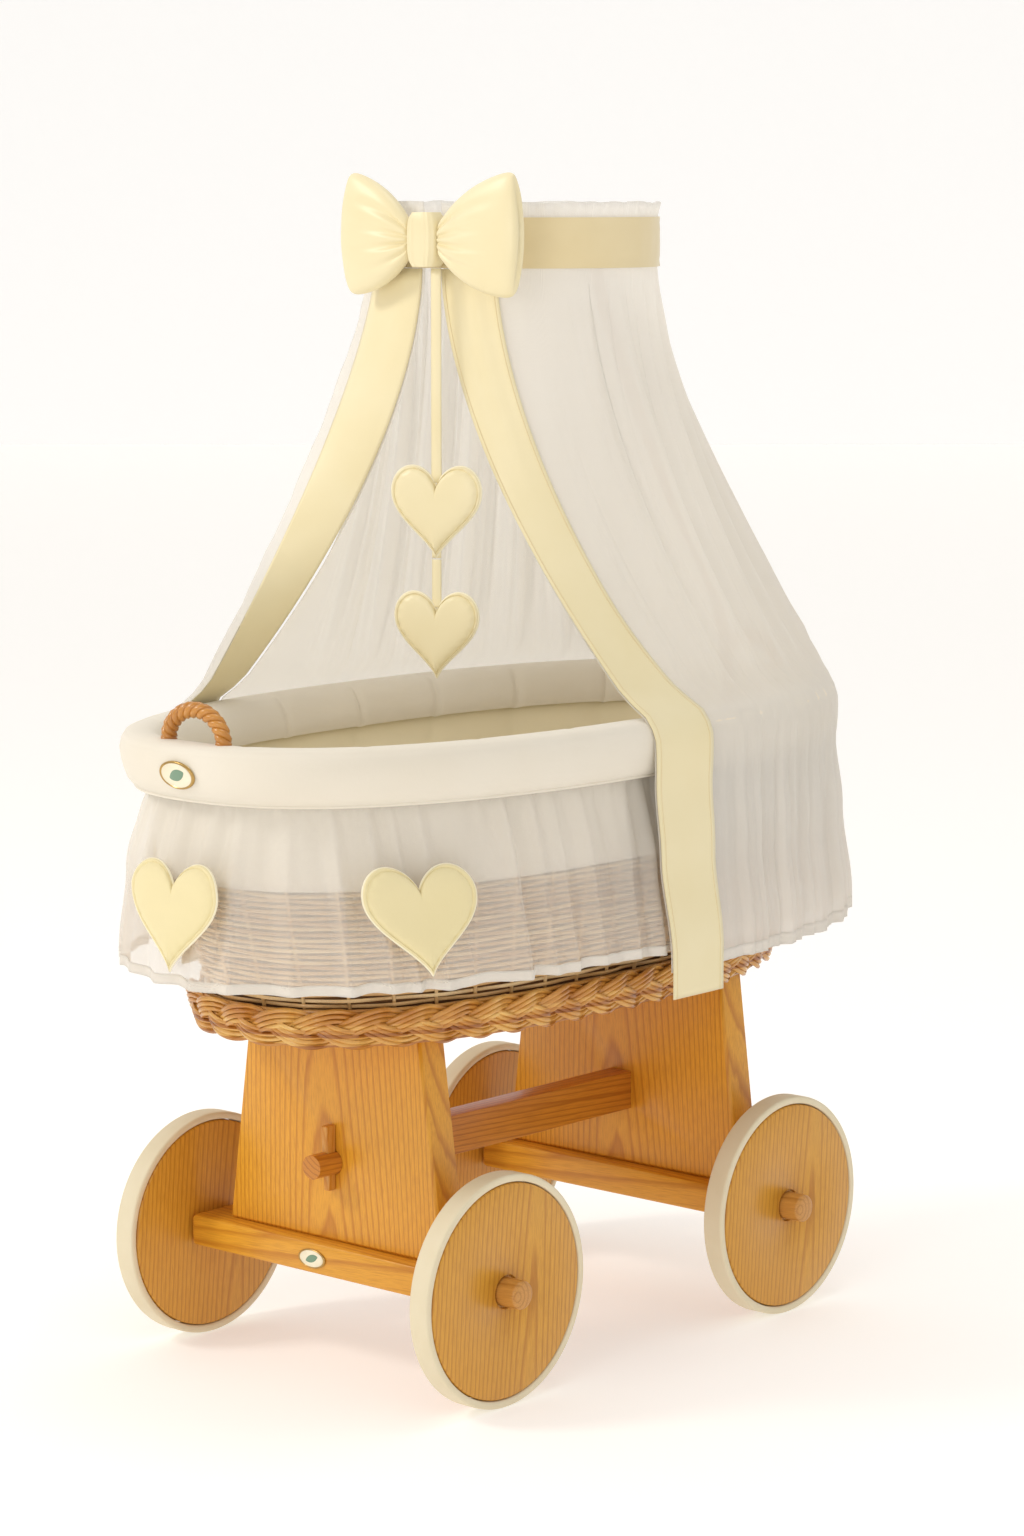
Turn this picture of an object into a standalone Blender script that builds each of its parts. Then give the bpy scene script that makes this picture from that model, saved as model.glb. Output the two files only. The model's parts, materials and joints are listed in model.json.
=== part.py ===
"""Bassinet on a wheeled wooden stand, with a padded wicker basket and a hooped canopy."""
import math

import bmesh
import bpy
from mathutils import Vector

# Overall sizes, in metres
WHEEL_DIAMETER = 0.250
WHEEL_WIDTH = 0.025
TYRE_THICKNESS = 0.0052
TRACK = 0.464
WHEELBASE = 0.486
BASKET_LENGTH = 0.760
BASKET_WIDTH = 0.352
RIM_LENGTH = 0.924
RIM_WIDTH = 0.452
WALL_HEIGHT = 0.284
CANOPY_HEIGHT = 0.545
CROWN_LENGTH = 0.282
CROWN_WIDTH = 0.282
CROWN_CENTRE_Y = 0.049

# Stand
BOARD_THICKNESS = 0.040
BOARD_HEIGHT = 0.240
FOOT_BOARD_TOP = 0.252
FOOT_BOARD_BOTTOM = 0.318
HEAD_BOARD_TOP = 0.290
HEAD_BOARD_BOTTOM = 0.350
BEAM_HEIGHT = 0.036
BEAM_DEPTH = 0.076
WHEEL_CLEARANCE = 0.004
PIN_HEAD_DIAMETER = 0.0316
PIN_HEAD_OUT = 0.0236
PIN_SHANK_DIAMETER = 0.020
PIN_DEPTH = 0.060
PIN_SIDES = 20
WHEEL_SIDES = 40
COUNTERBORE = 0.008
STRETCHER_WIDTH = 0.030
STRETCHER_HEIGHT = 0.044
STRETCHER_RISE = 0.088
TENON_DIAMETER = 0.0264
TENON_OUT = 0.034
WEDGE_WIDTH = 0.009
WEDGE_DEPTH = 0.015
WEDGE_UP = 0.042
WEDGE_DOWN = 0.030
DOWEL_DIAMETER = 0.010
DOWEL_SPREAD = 0.085

# Basket
OVAL_POWER = 2.43
STATIONS = 80
BASE_THICKNESS = 0.012
WALL_THICKNESS = 0.008
RIM_HEIGHT = 0.015
LINER_THICKNESS = 0.003
MATTRESS_THICKNESS = 0.050
MATTRESS_INSET = 0.0125
HANDLE_SPREAD = 0.080
HANDLE_DIAMETER = 0.017
HANDLE_RISE = 0.030
BUMPER_HEIGHT = 0.062
SKIRT_FLARE = 0.089
SIDE_TUCK = 0.018
SKIRT_WAVES = 32
SKIRT_WAVE = 0.005
FABRIC = 0.0016
SATIN = 0.0012

# Canopy
DRAPE_RIGHT = -1.1
DRAPE_LEFT = 46.7
DRAPE_COLUMNS = 72
DRAPE_WAVES = 18
RIBBON_COLUMNS = 4
LAPEL_STATIONS = 1.9
LAPEL_STAND = 0.014
RIBBON_DROP = 0.030
HOOP_DIAMETER = 0.010
POLE_DIAMETER = 0.014
CLAMP_HALF = 0.014
BAND_HEIGHT = 0.055
RUFFLE_HEIGHT = 0.016
BOW_X = 0.006
LEFT_LOOP = 0.100
RIGHT_LOOP = 0.118
BOW_HEIGHT = 0.134
HANG_X = 0.020
HANG_TURN = 20.0
HEART_WIDTH = 0.110
HEART_HEIGHT = 0.100
LOWER_HEART = 0.94
HEART_THICKNESS = 0.022
SKIRT_HEART_WIDTH = 0.126
SKIRT_HEART_HEIGHT = 0.114
SKIRT_HEART_THICKNESS = 0.012

# Clearances
GAP = 0.0003
SOFT_GAP = 0.0006
RUN_GAP = 0.0003

# Derived heights
AXLE_Z = WHEEL_DIAMETER / 2
BEAM_TOP = AXLE_Z + BEAM_HEIGHT / 2
BOARD_TOP = BEAM_TOP + GAP + BOARD_HEIGHT
BASE_LOW = BOARD_TOP + GAP
BASE_TOP = BASE_LOW + BASE_THICKNESS
WALL_LOW = BASE_TOP + GAP
WALL_TOP = WALL_LOW + WALL_HEIGHT
RIM_LOW = WALL_TOP + GAP
RIM_TOP = RIM_LOW + RIM_HEIGHT
BUMPER_TOP = RIM_TOP + GAP + 0.016
BUMPER_LOW = BUMPER_TOP - BUMPER_HEIGHT
CROWN_Z = BUMPER_TOP + CANOPY_HEIGHT
HOOP_Z = CROWN_Z - RUFFLE_HEIGHT - BAND_HEIGHT / 2
STRETCHER_Z = BEAM_TOP + STRETCHER_RISE
AXLE_Y = WHEELBASE / 2
FACE_X = TRACK / 2
BEAM_HALF = FACE_X - WHEEL_WIDTH - WHEEL_CLEARANCE

COLOURS = {
    "pine": ((0.72, 0.42, 0.13), 0.45),
    "dark_pine": ((0.40, 0.15, 0.03), 0.5),
    "wicker": ((0.48, 0.22, 0.05), 0.6),
    "tyre": ((0.82, 0.77, 0.62), 0.7),
    "cream": ((0.85, 0.80, 0.69), 0.9),
    "sheer": ((0.90, 0.87, 0.83), 0.9),
    "satin": ((0.87, 0.77, 0.46), 0.5),
    "cotton": ((0.80, 0.73, 0.52), 0.9),
    "plastic": ((0.85, 0.75, 0.55), 0.4),
    "enamel": ((0.75, 0.72, 0.65), 0.4),
}


def clear():
    for thing in list(bpy.data.objects):
        bpy.data.objects.remove(thing, do_unlink=True)
    for kind in (bpy.data.meshes, bpy.data.curves, bpy.data.materials):
        for block in list(kind):
            kind.remove(block)
    for group in list(bpy.data.collections):
        bpy.data.collections.remove(group)


clear()
PARTS = bpy.data.collections.new("bassinet_on_stand")
CUTTERS = bpy.data.collections.new("cutters")
bpy.context.scene.collection.children.link(PARTS)
bpy.context.scene.collection.children.link(CUTTERS)


def material(name):
    found = bpy.data.materials.get(name)
    if found:
        return found
    colour, rough = COLOURS[name]
    made = bpy.data.materials.new(name)
    made.use_nodes = True
    shader = made.node_tree.nodes["Principled BSDF"]
    shader.inputs["Base Color"].default_value = (*colour, 1.0)
    shader.inputs["Roughness"].default_value = rough
    made.diffuse_color = (*colour, 1.0)
    return made


def place(thing, name, kind):
    """Names an object, and puts it with the parts, or with the cutters when it has no material."""
    thing.name = name
    thing.data.name = name
    for group in list(thing.users_collection):
        group.objects.unlink(thing)
    if kind is None:
        CUTTERS.objects.link(thing)
        thing.hide_render = True
        thing.display_type = "WIRE"
    else:
        PARTS.objects.link(thing)
        thing.data.materials.clear()
        thing.data.materials.append(material(kind))
    return thing


def outward(mesh):
    work = bmesh.new()
    work.from_mesh(mesh)
    bmesh.ops.recalc_face_normals(work, faces=work.faces)
    work.to_mesh(mesh)
    work.free()


def link(name, kind, mesh):
    thing = bpy.data.objects.new(name, mesh)
    bpy.context.scene.collection.objects.link(thing)
    return place(thing, name, kind)


def from_faces(name, kind, points, faces):
    mesh = bpy.data.meshes.new(name)
    mesh.from_pydata([tuple(p) for p in points], [], faces)
    outward(mesh)
    return link(name, kind, mesh)


def box(name, kind, low, high, bevel=0.0, segments=2):
    middle = [(a + b) / 2 for a, b in zip(low, high)]
    bpy.ops.mesh.primitive_cube_add(size=1, location=middle)
    thing = bpy.context.object
    thing.scale = [b - a for a, b in zip(low, high)]
    freeze_scaled(thing)
    place(thing, name, kind)
    if bevel:
        soften(thing, bevel, segments)
    return thing


def freeze_scaled(thing):
    """Moves an object's placement into its vertices."""
    bpy.context.view_layer.update()
    thing.data.transform(thing.matrix_world)
    thing.matrix_world.identity()
    thing.location = (0, 0, 0)
    thing.rotation_euler = (0, 0, 0)
    thing.scale = (1, 1, 1)


def soften(thing, width, segments=2, angle=30):
    edge = thing.modifiers.new("soft_edges", "BEVEL")
    edge.width = width
    edge.segments = segments
    edge.limit_method = "ANGLE"
    edge.angle_limit = math.radians(angle)
    return thing


def rod(name, kind, start, end, radius, sides=32, bevel=0.0):
    start = Vector(start)
    end = Vector(end)
    way = end - start
    middle = (start + end) / 2
    bpy.ops.mesh.primitive_cylinder_add(vertices=sides, radius=radius, depth=way.length, location=middle)
    thing = bpy.context.object
    thing.rotation_mode = "QUATERNION"
    thing.rotation_quaternion = Vector((0, 0, 1)).rotation_difference(way)
    freeze_scaled(thing)
    place(thing, name, kind)
    if bevel:
        soften(thing, bevel, 1)
    return thing


def tube(name, kind, points, radius, cyclic=False, resolution=3):
    path = bpy.data.curves.new(name, "CURVE")
    path.dimensions = "3D"
    path.bevel_depth = radius
    path.bevel_resolution = resolution
    path.use_fill_caps = not cyclic
    line = path.splines.new("POLY")
    line.points.add(len(points) - 1)
    for slot, spot in zip(line.points, points):
        slot.co = (*spot, 1.0)
    line.use_cyclic_u = cyclic
    thing = bpy.data.objects.new(name, path)
    bpy.context.scene.collection.objects.link(thing)
    bpy.context.view_layer.update()
    shape = thing.evaluated_get(bpy.context.evaluated_depsgraph_get())
    mesh = bpy.data.meshes.new_from_object(shape)
    bpy.data.objects.remove(thing)
    bpy.data.curves.remove(path)
    work = bmesh.new()
    work.from_mesh(mesh)
    bmesh.ops.remove_doubles(work, verts=work.verts, dist=0.00005)
    bmesh.ops.recalc_face_normals(work, faces=work.faces)
    work.to_mesh(mesh)
    work.free()
    return link(name, kind, mesh)


def combine(thing, other, how):
    step = thing.modifiers.new(how.lower(), "BOOLEAN")
    step.operation = how
    step.solver = "EXACT"
    step.object = other
    return thing


def cut(thing, *tools):
    for tool in tools:
        combine(thing, tool, "DIFFERENCE")
    return thing


# The basket's outline, as stations round an oval that grows with height

def oval_point(turn, power):
    c = math.cos(turn)
    s = math.sin(turn)
    x = math.copysign(abs(c) ** (2 / power), c) if abs(c) > 1e-9 else 0.0
    y = math.copysign(abs(s) ** (2 / power), s) if abs(s) > 1e-9 else 0.0
    return x, y


def even_turns():
    half_x = (BASKET_WIDTH + RIM_WIDTH) / 4
    half_y = (BASKET_LENGTH + RIM_LENGTH) / 4
    fine = 4000
    spots = []
    for i in range(fine + 1):
        x, y = oval_point(2 * math.pi * i / fine, OVAL_POWER)
        spots.append((x * half_x, y * half_y))
    along = [0.0]
    for a, b in zip(spots, spots[1:]):
        along.append(along[-1] + math.dist(a, b))
    turns = []
    i = 0
    for k in range(STATIONS):
        want = along[-1] * k / STATIONS
        while along[i + 1] < want:
            i += 1
        share = (want - along[i]) / (along[i + 1] - along[i])
        turns.append(2 * math.pi * (i + share) / fine)
    return turns


def unit_stations():
    half_x = (BASKET_WIDTH + RIM_WIDTH) / 4
    half_y = (BASKET_LENGTH + RIM_LENGTH) / 4
    found = []
    for turn in even_turns():
        x, y = oval_point(turn, OVAL_POWER)
        nx = math.copysign(abs(x) ** (OVAL_POWER - 1), x) / half_x
        ny = math.copysign(abs(y) ** (OVAL_POWER - 1), y) / half_y
        size = math.hypot(nx, ny)
        found.append((x, y, nx / size, ny / size))
    return found


UNIT = unit_stations()


def half_sizes(z):
    share = (z - BASE_LOW) / (WALL_TOP - BASE_LOW)
    length = BASKET_LENGTH + (RIM_LENGTH - BASKET_LENGTH) * share
    width = BASKET_WIDTH + (RIM_WIDTH - BASKET_WIDTH) * share
    return width / 2, length / 2


def station(k, out, z):
    x, y, nx, ny = UNIT[k % STATIONS]
    half_x, half_y = half_sizes(z)
    return Vector((x * half_x + nx * out, y * half_y + ny * out, z))


def around(u, out, z):
    """The point at station u, a distance out from the basket's oval at height z."""
    k = math.floor(u)
    share = u - k
    if share < 1e-9:
        return station(k, out, z)
    return station(k, out, z).lerp(station(k + 1, out, z), share)


def ruled(rows, closed_across, closed_along):
    """Triangles between rows of points, with each diagonal rising the same way."""
    points = [p for row in rows for p in row]
    wide = len(rows[0])
    faces = []
    for i in range(len(rows) if closed_along else len(rows) - 1):
        below = i * wide
        above = ((i + 1) % len(rows)) * wide
        for j in range(wide if closed_across else wide - 1):
            n = (j + 1) % wide
            a, b, c, d = below + j, below + n, above + n, above + j
            if points[a].z <= points[b].z:
                faces += [(a, b, c), (a, c, d)]
            else:
                faces += [(a, b, d), (b, c, d)]
    return points, faces


def ring(name, kind, profile, per=1):
    """A closed band round the basket. The profile lists (out, z), or is a function of the station."""
    rows = []
    for i in range(STATIONS * per):
        u = i / per
        outline = profile(u) if callable(profile) else profile
        rows.append([around(u, out, z) for out, z in outline])
    points, faces = ruled(rows, True, True)
    return from_faces(name, kind, points, faces)


def plate(name, kind, levels):
    """A solid plate with the basket's outline. The levels list (out, z) from the bottom to the top."""
    rows = [[around(k, out, z) for k in range(STATIONS)] for out, z in levels]
    points, faces = ruled(rows, True, False)
    top = (len(levels) - 1) * STATIONS
    faces.append(tuple(range(STATIONS)))
    faces.append(tuple(range(top, top + STATIONS)))
    return from_faces(name, kind, points, faces)


# Wheels, pins and beams

def wheel(end, side, tag):
    y = end * AXLE_Y
    inner = side * (FACE_X - WHEEL_WIDTH)
    outer = side * FACE_X
    disc_r = WHEEL_DIAMETER / 2 - TYRE_THICKNESS
    disc = rod(tag + "_wheel_disc", "pine", (inner, y, AXLE_Z), (outer, y, AXLE_Z), disc_r, WHEEL_SIDES)
    soften(disc, 0.0014, 1)
    bore = rod(tag + "_bore_tool", None, (inner - side * 0.01, y, AXLE_Z), (outer + side * 0.01, y, AXLE_Z),
               PIN_SHANK_DIAMETER / 2 + RUN_GAP, PIN_SIDES)
    sink = rod(tag + "_sink_tool", None, (outer - side * COUNTERBORE, y, AXLE_Z),
               (outer + side * 0.01, y, AXLE_Z), PIN_HEAD_DIAMETER / 2 + 0.0012, PIN_SIDES)
    cut(disc, bore, sink)
    rows = []
    low = WHEEL_DIAMETER / 2 - TYRE_THICKNESS + GAP
    wide = math.cos(math.pi / WHEEL_SIDES)
    for i in range(WHEEL_SIDES):
        turn = 2 * math.pi * (i + 0.5) / WHEEL_SIDES
        row = []
        for x, r in ((inner, low), (inner, WHEEL_DIAMETER / 2), (outer, WHEEL_DIAMETER / 2), (outer, low)):
            row.append(Vector((x, y + r / wide * math.sin(turn), AXLE_Z + r / wide * math.cos(turn))))
        rows.append(row)
    points, faces = ruled(rows, True, True)
    from_faces(tag + "_tyre", "tyre", points, faces)
    head_in = outer - side * (COUNTERBORE - RUN_GAP)
    pin = spindle(tag + "_axle_pin", "pine", y,
                  [(side * (BEAM_HALF - PIN_DEPTH + 0.001), PIN_SHANK_DIAMETER / 2),
                   (head_in, PIN_SHANK_DIAMETER / 2),
                   (head_in, PIN_HEAD_DIAMETER / 2),
                   (outer + side * (PIN_HEAD_OUT - 0.002), PIN_HEAD_DIAMETER / 2),
                   (outer + side * PIN_HEAD_OUT, PIN_HEAD_DIAMETER / 2 - 0.002)])
    return disc, pin


def spindle(name, kind, y, steps):
    """A turned solid on an axis along X, from a half profile of (x, radius)."""
    sides = PIN_SIDES
    rows = []
    for x, r in steps:
        rows.append([Vector((x, y + r * math.sin(2 * math.pi * (i + 0.5) / sides),
                             AXLE_Z + r * math.cos(2 * math.pi * (i + 0.5) / sides))) for i in range(sides)])
    points = [p for row in rows for p in row]
    faces = []
    for i in range(len(rows) - 1):
        for j in range(sides):
            n = (j + 1) % sides
            faces.append((i * sides + j, i * sides + n, (i + 1) * sides + n, (i + 1) * sides + j))
    faces.append(tuple(range(sides)))
    faces.append(tuple(range((len(rows) - 1) * sides, len(rows) * sides)))
    return from_faces(name, kind, points, faces)


def axle_beam(end, tag):
    y = end * AXLE_Y
    beam = box(tag + "_axle_beam", "pine", (-BEAM_HALF, y - BEAM_DEPTH / 2, AXLE_Z - BEAM_HEIGHT / 2),
               (BEAM_HALF, y + BEAM_DEPTH / 2, BEAM_TOP), 0.006, 2)
    for side in (-1, 1):
        hole = rod(f"{tag}_beam_tool_{side}", None, (side * (BEAM_HALF - PIN_DEPTH), y, AXLE_Z),
                   (side * (BEAM_HALF + 0.01), y, AXLE_Z), PIN_SHANK_DIAMETER / 2 + GAP, PIN_SIDES)
        cut(beam, hole)
    return beam


def board(end, tag, top_width, bottom_width):
    y = end * AXLE_Y
    low = BEAM_TOP + GAP
    half = BOARD_THICKNESS / 2
    rows = []
    for z, width in ((low, bottom_width), (BOARD_TOP, top_width)):
        rows.append([Vector((-width / 2, y - half, z)), Vector((width / 2, y - half, z)),
                     Vector((width / 2, y + half, z)), Vector((-width / 2, y + half, z))])
    points = rows[0] + rows[1]
    faces = [(0, 1, 2, 3), (4, 5, 6, 7), (0, 1, 5, 4), (1, 2, 6, 5), (2, 3, 7, 6), (3, 0, 4, 7)]
    made = from_faces(tag + "_board", "pine", points, faces)
    soften(made, 0.003, 1)
    bore = rod(tag + "_tenon_tool", None, (0, y - half - 0.01, STRETCHER_Z),
               (0, y + half + 0.01, STRETCHER_Z), TENON_DIAMETER / 2 + GAP, 32)
    cut(made, bore)
    beam = axle_beam(end, tag)
    for side, word in ((-1, "left"), (1, "right")):
        x = side * DOWEL_SPREAD
        top = rod(f"{tag}_{word}_top_dowel", "pine", (x, y, BOARD_TOP - 0.020), (x, y, BASE_LOW + 0.007),
                  DOWEL_DIAMETER / 2, 16)
        top_hole = rod(f"{tag}_{word}_top_tool", None, (x, y, BOARD_TOP - 0.020 - GAP),
                       (x, y, BASE_LOW + 0.0085), DOWEL_DIAMETER / 2 + GAP, 16)
        cut(made, top_hole)
        cut(BASE, top_hole)
        low_pin = rod(f"{tag}_{word}_low_dowel", "pine", (x, y, BEAM_TOP - 0.018), (x, y, BEAM_TOP + 0.022),
                      DOWEL_DIAMETER / 2, 16)
        low_hole = rod(f"{tag}_{word}_low_tool", None, (x, y, BEAM_TOP - 0.018 - GAP),
                       (x, y, BEAM_TOP + 0.022 + GAP), DOWEL_DIAMETER / 2 + GAP, 16)
        cut(made, low_hole)
        cut(beam, low_hole)
    return made


def stretcher():
    inner = AXLE_Y - BOARD_THICKNESS / 2 - GAP
    outer = AXLE_Y + BOARD_THICKNESS / 2
    bar = box("stretcher", "dark_pine", (-STRETCHER_WIDTH / 2, -inner, STRETCHER_Z - STRETCHER_HEIGHT / 2),
              (STRETCHER_WIDTH / 2, inner, STRETCHER_Z + STRETCHER_HEIGHT / 2))
    for end, tag in ((-1, "foot"), (1, "head")):
        tenon = rod(tag + "_tenon_join", None, (0, end * (inner - 0.03), STRETCHER_Z),
                    (0, end * (outer + TENON_OUT), STRETCHER_Z), TENON_DIAMETER / 2, 32)
        combine(bar, tenon, "UNION")
        slot = wedge(tag + "_slot_tool", None, end, outer, GAP)
        cut(bar, slot)
        wedge(tag + "_wedge", "pine", end, outer, 0.0)
    return bar


def wedge(name, kind, end, outer, grow):
    """A tapered key, narrower at the bottom. The growth makes its slot."""
    half = WEDGE_WIDTH / 2 + grow
    low = STRETCHER_Z - WEDGE_DOWN - (0.01 if grow else 0.0)
    high = STRETCHER_Z + WEDGE_UP + (0.01 if grow else 0.0)
    rows = []
    for z in (low, high):
        rise = (z - STRETCHER_Z + WEDGE_DOWN) / (WEDGE_UP + WEDGE_DOWN)
        back = outer + GAP - (0.004 if grow else 0.0)
        front = outer + GAP + WEDGE_DEPTH * (0.72 + 0.28 * rise) + grow
        rows.append([Vector((-half, end * back, z)), Vector((half, end * back, z)),
                     Vector((half, end * front, z)), Vector((-half, end * front, z))])
    points = rows[0] + rows[1]
    faces = [(0, 1, 2, 3), (4, 5, 6, 7), (0, 1, 5, 4), (1, 2, 6, 5), (2, 3, 7, 6), (3, 0, 4, 7)]
    made = from_faces(name, kind, points, faces)
    if kind:
        soften(made, 0.0012, 1)
    return made


def badge(name, kind, middle, right, up, out, wide, tall, thick):
    """A flat oval plaque standing on a surface."""
    sides = 24
    rows = []
    for depth, share in ((0.0, 1.0), (thick * 0.6, 1.0), (thick, 0.86)):
        row = []
        for i in range(sides):
            turn = 2 * math.pi * i / sides
            row.append(middle + right * (wide / 2 * share * math.cos(turn))
                       + up * (tall / 2 * share * math.sin(turn)) + out * depth)
        rows.append(row)
    points = [p for row in rows for p in row]
    faces = [tuple(range(sides)), tuple(range(2 * sides, 3 * sides))]
    for i in range(2):
        for j in range(sides):
            n = (j + 1) % sides
            faces.append((i * sides + j, i * sides + n, (i + 1) * sides + n, (i + 1) * sides + j))
    return from_faces(name, kind, points, faces)


BASE = plate("base_board", "pine", [(0.0, BASE_LOW), (0.0, BASE_TOP)])
board(-1, "foot", FOOT_BOARD_TOP, FOOT_BOARD_BOTTOM)
board(1, "head", HEAD_BOARD_TOP, HEAD_BOARD_BOTTOM)
stretcher()
for end, end_word in ((-1, "foot"), (1, "head")):
    for side, side_word in ((-1, "left"), (1, "right")):
        wheel(end, side, f"{end_word}_{side_word}")
badge("beam_badge", "plastic", Vector((-0.015, -AXLE_Y - BEAM_DEPTH / 2 - GAP, AXLE_Z)), Vector((1, 0, 0)),
      Vector((0, 0, 1)), Vector((0, -1, 0)), 0.040, 0.021, 0.0018)

# Basket
half_wall = WALL_THICKNESS / 2
ring("wicker_wall", "wicker", [(half_wall - 0.0085, WALL_LOW), (half_wall, WALL_TOP),
                               (-half_wall, WALL_TOP), (-half_wall - 0.0085, WALL_LOW)])
ring("base_border", "wicker", [(GAP, BASE_LOW), (0.016, BASE_LOW), (0.025, BASE_LOW + 0.010),
                               (0.023, BASE_LOW + 0.024), (0.010, BASE_LOW + 0.031), (GAP, BASE_LOW + 0.024)])
ring("rim_border", "wicker", [(-0.008, RIM_LOW), (0.008, RIM_LOW), (0.008, RIM_TOP), (-0.008, RIM_TOP)])
liner_out = -half_wall - SOFT_GAP
ring("liner", "cotton", [(liner_out - 0.0085, WALL_LOW + 0.004), (liner_out, WALL_TOP - 0.001),
                         (liner_out - LINER_THICKNESS, WALL_TOP - 0.001),
                         (liner_out - 0.0085 - LINER_THICKNESS, WALL_LOW + 0.004)])
MATTRESS = plate("mattress", "cream", [(-0.020 - MATTRESS_INSET, BASE_TOP + GAP),
                                       (-0.008 - MATTRESS_INSET, BASE_TOP + 0.014),
                                       (-0.012 - MATTRESS_INSET, BASE_TOP + GAP + MATTRESS_THICKNESS)])
ceiling = RIM_TOP + GAP
bumper_out = 0.0265
BUMPER = ring("bumper_roll", "cream", [(0.0122, BUMPER_LOW + 0.001), (0.021, BUMPER_LOW),
                                       (bumper_out, BUMPER_LOW + 0.014),
                                       (bumper_out, BUMPER_TOP - 0.024), (0.014, BUMPER_TOP - 0.002),
                                       (-0.014, BUMPER_TOP - 0.002), (-0.0250, BUMPER_TOP - 0.024),
                                       (-0.021, BUMPER_LOW + 0.012), (-0.0122, BUMPER_LOW + 0.013),
                                       (-0.0118, ceiling), (0.0118, ceiling)])
for end, tag in ((-1, "foot"), (1, "head")):
    y = end * RIM_LENGTH / 2
    foot_z = RIM_TOP + GAP
    rise = BUMPER_TOP + HANDLE_RISE - HANDLE_SPREAD / 2 * 0.80 - foot_z
    path = []
    for i in range(3):
        path.append((-HANDLE_SPREAD / 2, y, foot_z + rise * i / 3))
    for i in range(11):
        turn = math.pi * i / 10
        arch = HANDLE_SPREAD / 2 * 0.80 * math.sin(turn)
        path.append((-HANDLE_SPREAD / 2 * math.cos(turn), y, foot_z + rise + arch))
    for i in range(3):
        path.append((HANDLE_SPREAD / 2, y, foot_z + rise * (2 - i) / 3))
    tube(tag + "_handle", "wicker", path, HANDLE_DIAMETER / 2, False, 2)
    for side in (-1, 1):
        x = side * HANDLE_SPREAD / 2
        slit = rod(f"{tag}_slit_tool_{side}", None, (x, y, RIM_TOP - 0.002), (x, y, BUMPER_TOP + 0.01),
                   HANDLE_DIAMETER / 2 + 2 * GAP, 20)
        cut(BUMPER, slit)

SKIRT_HEM = BUMPER_LOW - 0.191
SKIRT_MIDDLE = BUMPER_LOW - 0.090
SKIRT_LEVELS = [(0.0055, WALL_TOP - 0.0005, 0.0), (0.0057, BUMPER_LOW, 0.0),
                (SKIRT_FLARE * 0.6, SKIRT_MIDDLE, 0.7), (SKIRT_FLARE, SKIRT_HEM, 1.0)]


def tuck(u):
    """How much less the skirt flares along the long sides than at the ends."""
    k = math.floor(u)
    near = UNIT[k % STATIONS][2] ** 2
    far = UNIT[(k + 1) % STATIONS][2] ** 2
    return SIDE_TUCK * (near + (far - near) * (u - k))


def skirt_profile(u):
    swing = math.sin(2 * math.pi * SKIRT_WAVES * u / STATIONS)
    inner = []
    outer = []
    for out, z, share in SKIRT_LEVELS:
        middle = out - tuck(u) * share + SKIRT_WAVE * share * swing
        inner.append((middle - FABRIC / 2, z))
        outer.append((middle + FABRIC / 2, z))
    return outer + inner[::-1]


ring("skirt", "sheer", skirt_profile, 2)


def skirt_crest(u, z):
    """How far out the skirt's folds reach at a station and a height."""
    for (out_a, z_a, share_a), (out_b, z_b, share_b) in zip(SKIRT_LEVELS, SKIRT_LEVELS[1:]):
        if z_b <= z <= z_a:
            t = (z_a - z) / (z_a - z_b)
            share = share_a + (share_b - share_a) * t
            return out_a + (out_b - out_a) * t + (SKIRT_WAVE - tuck(u)) * share + FABRIC / 2
    return SKIRT_FLARE - tuck(u) + SKIRT_WAVE + FABRIC / 2


def heart_outline(count):
    """A heart of unit width and height, centred on its own box."""
    raw = []
    for i in range(count):
        t = 2 * math.pi * i / count
        x = 16 * math.sin(t) ** 3
        y = 13 * math.cos(t) - 5 * math.cos(2 * t) - 2 * math.cos(3 * t) - math.cos(4 * t)
        raw.append((x, y))
    left = min(p[0] for p in raw)
    right = max(p[0] for p in raw)
    low = min(p[1] for p in raw)
    high = max(p[1] for p in raw)
    centre_x = (left + right) / 2
    centre_y = (low + high) / 2
    return [((x - centre_x) / (right - left), (y - centre_y) / (high - low)) for x, y in raw]


def skirt_heart(name, u, z):
    """A heart pad that follows the skirt: a curved slab, kept where a heart-shaped prism meets it."""
    reach = 4.5
    rows = []
    for i in range(int(reach * 4) + 1):
        at = u - reach + i / 2
        levels = [BUMPER_LOW, SKIRT_MIDDLE, SKIRT_HEM]
        back = [around(at, skirt_crest(at, h) + GAP, h) for h in levels]
        front = [around(at, skirt_crest(at, h) + GAP + SKIRT_HEART_THICKNESS, h) for h in levels]
        rows.append(front + back[::-1])
    points, faces = ruled(rows, True, False)
    wide = len(rows[0])
    faces.append(tuple(range(wide)))
    faces.append(tuple(range((len(rows) - 1) * wide, len(rows) * wide)))
    pad = from_faces(name, "cream", points, faces)
    middle = around(u, skirt_crest(u, z), z)
    facing = around(u, 1.0, z) - around(u, 0.0, z)
    side = Vector((-facing.y, facing.x, 0)).normalized()
    facing = Vector((facing.x, facing.y, 0)).normalized()
    up = Vector((0, 0, 1))
    outline = heart_outline(36)
    points = []
    for depth in (-0.10, 0.10):
        for x, y in outline:
            across = side * (x * SKIRT_HEART_WIDTH)
            points.append(middle + across + up * (y * SKIRT_HEART_HEIGHT) + facing * depth)
    count = len(outline)
    faces = [tuple(range(count)), tuple(range(count, 2 * count))]
    for i in range(count):
        n = (i + 1) % count
        faces.append((i, n, count + n, count + i))
    prism = from_faces(name + "_tool", None, points, faces)
    combine(pad, prism, "INTERSECT")
    return pad


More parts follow.
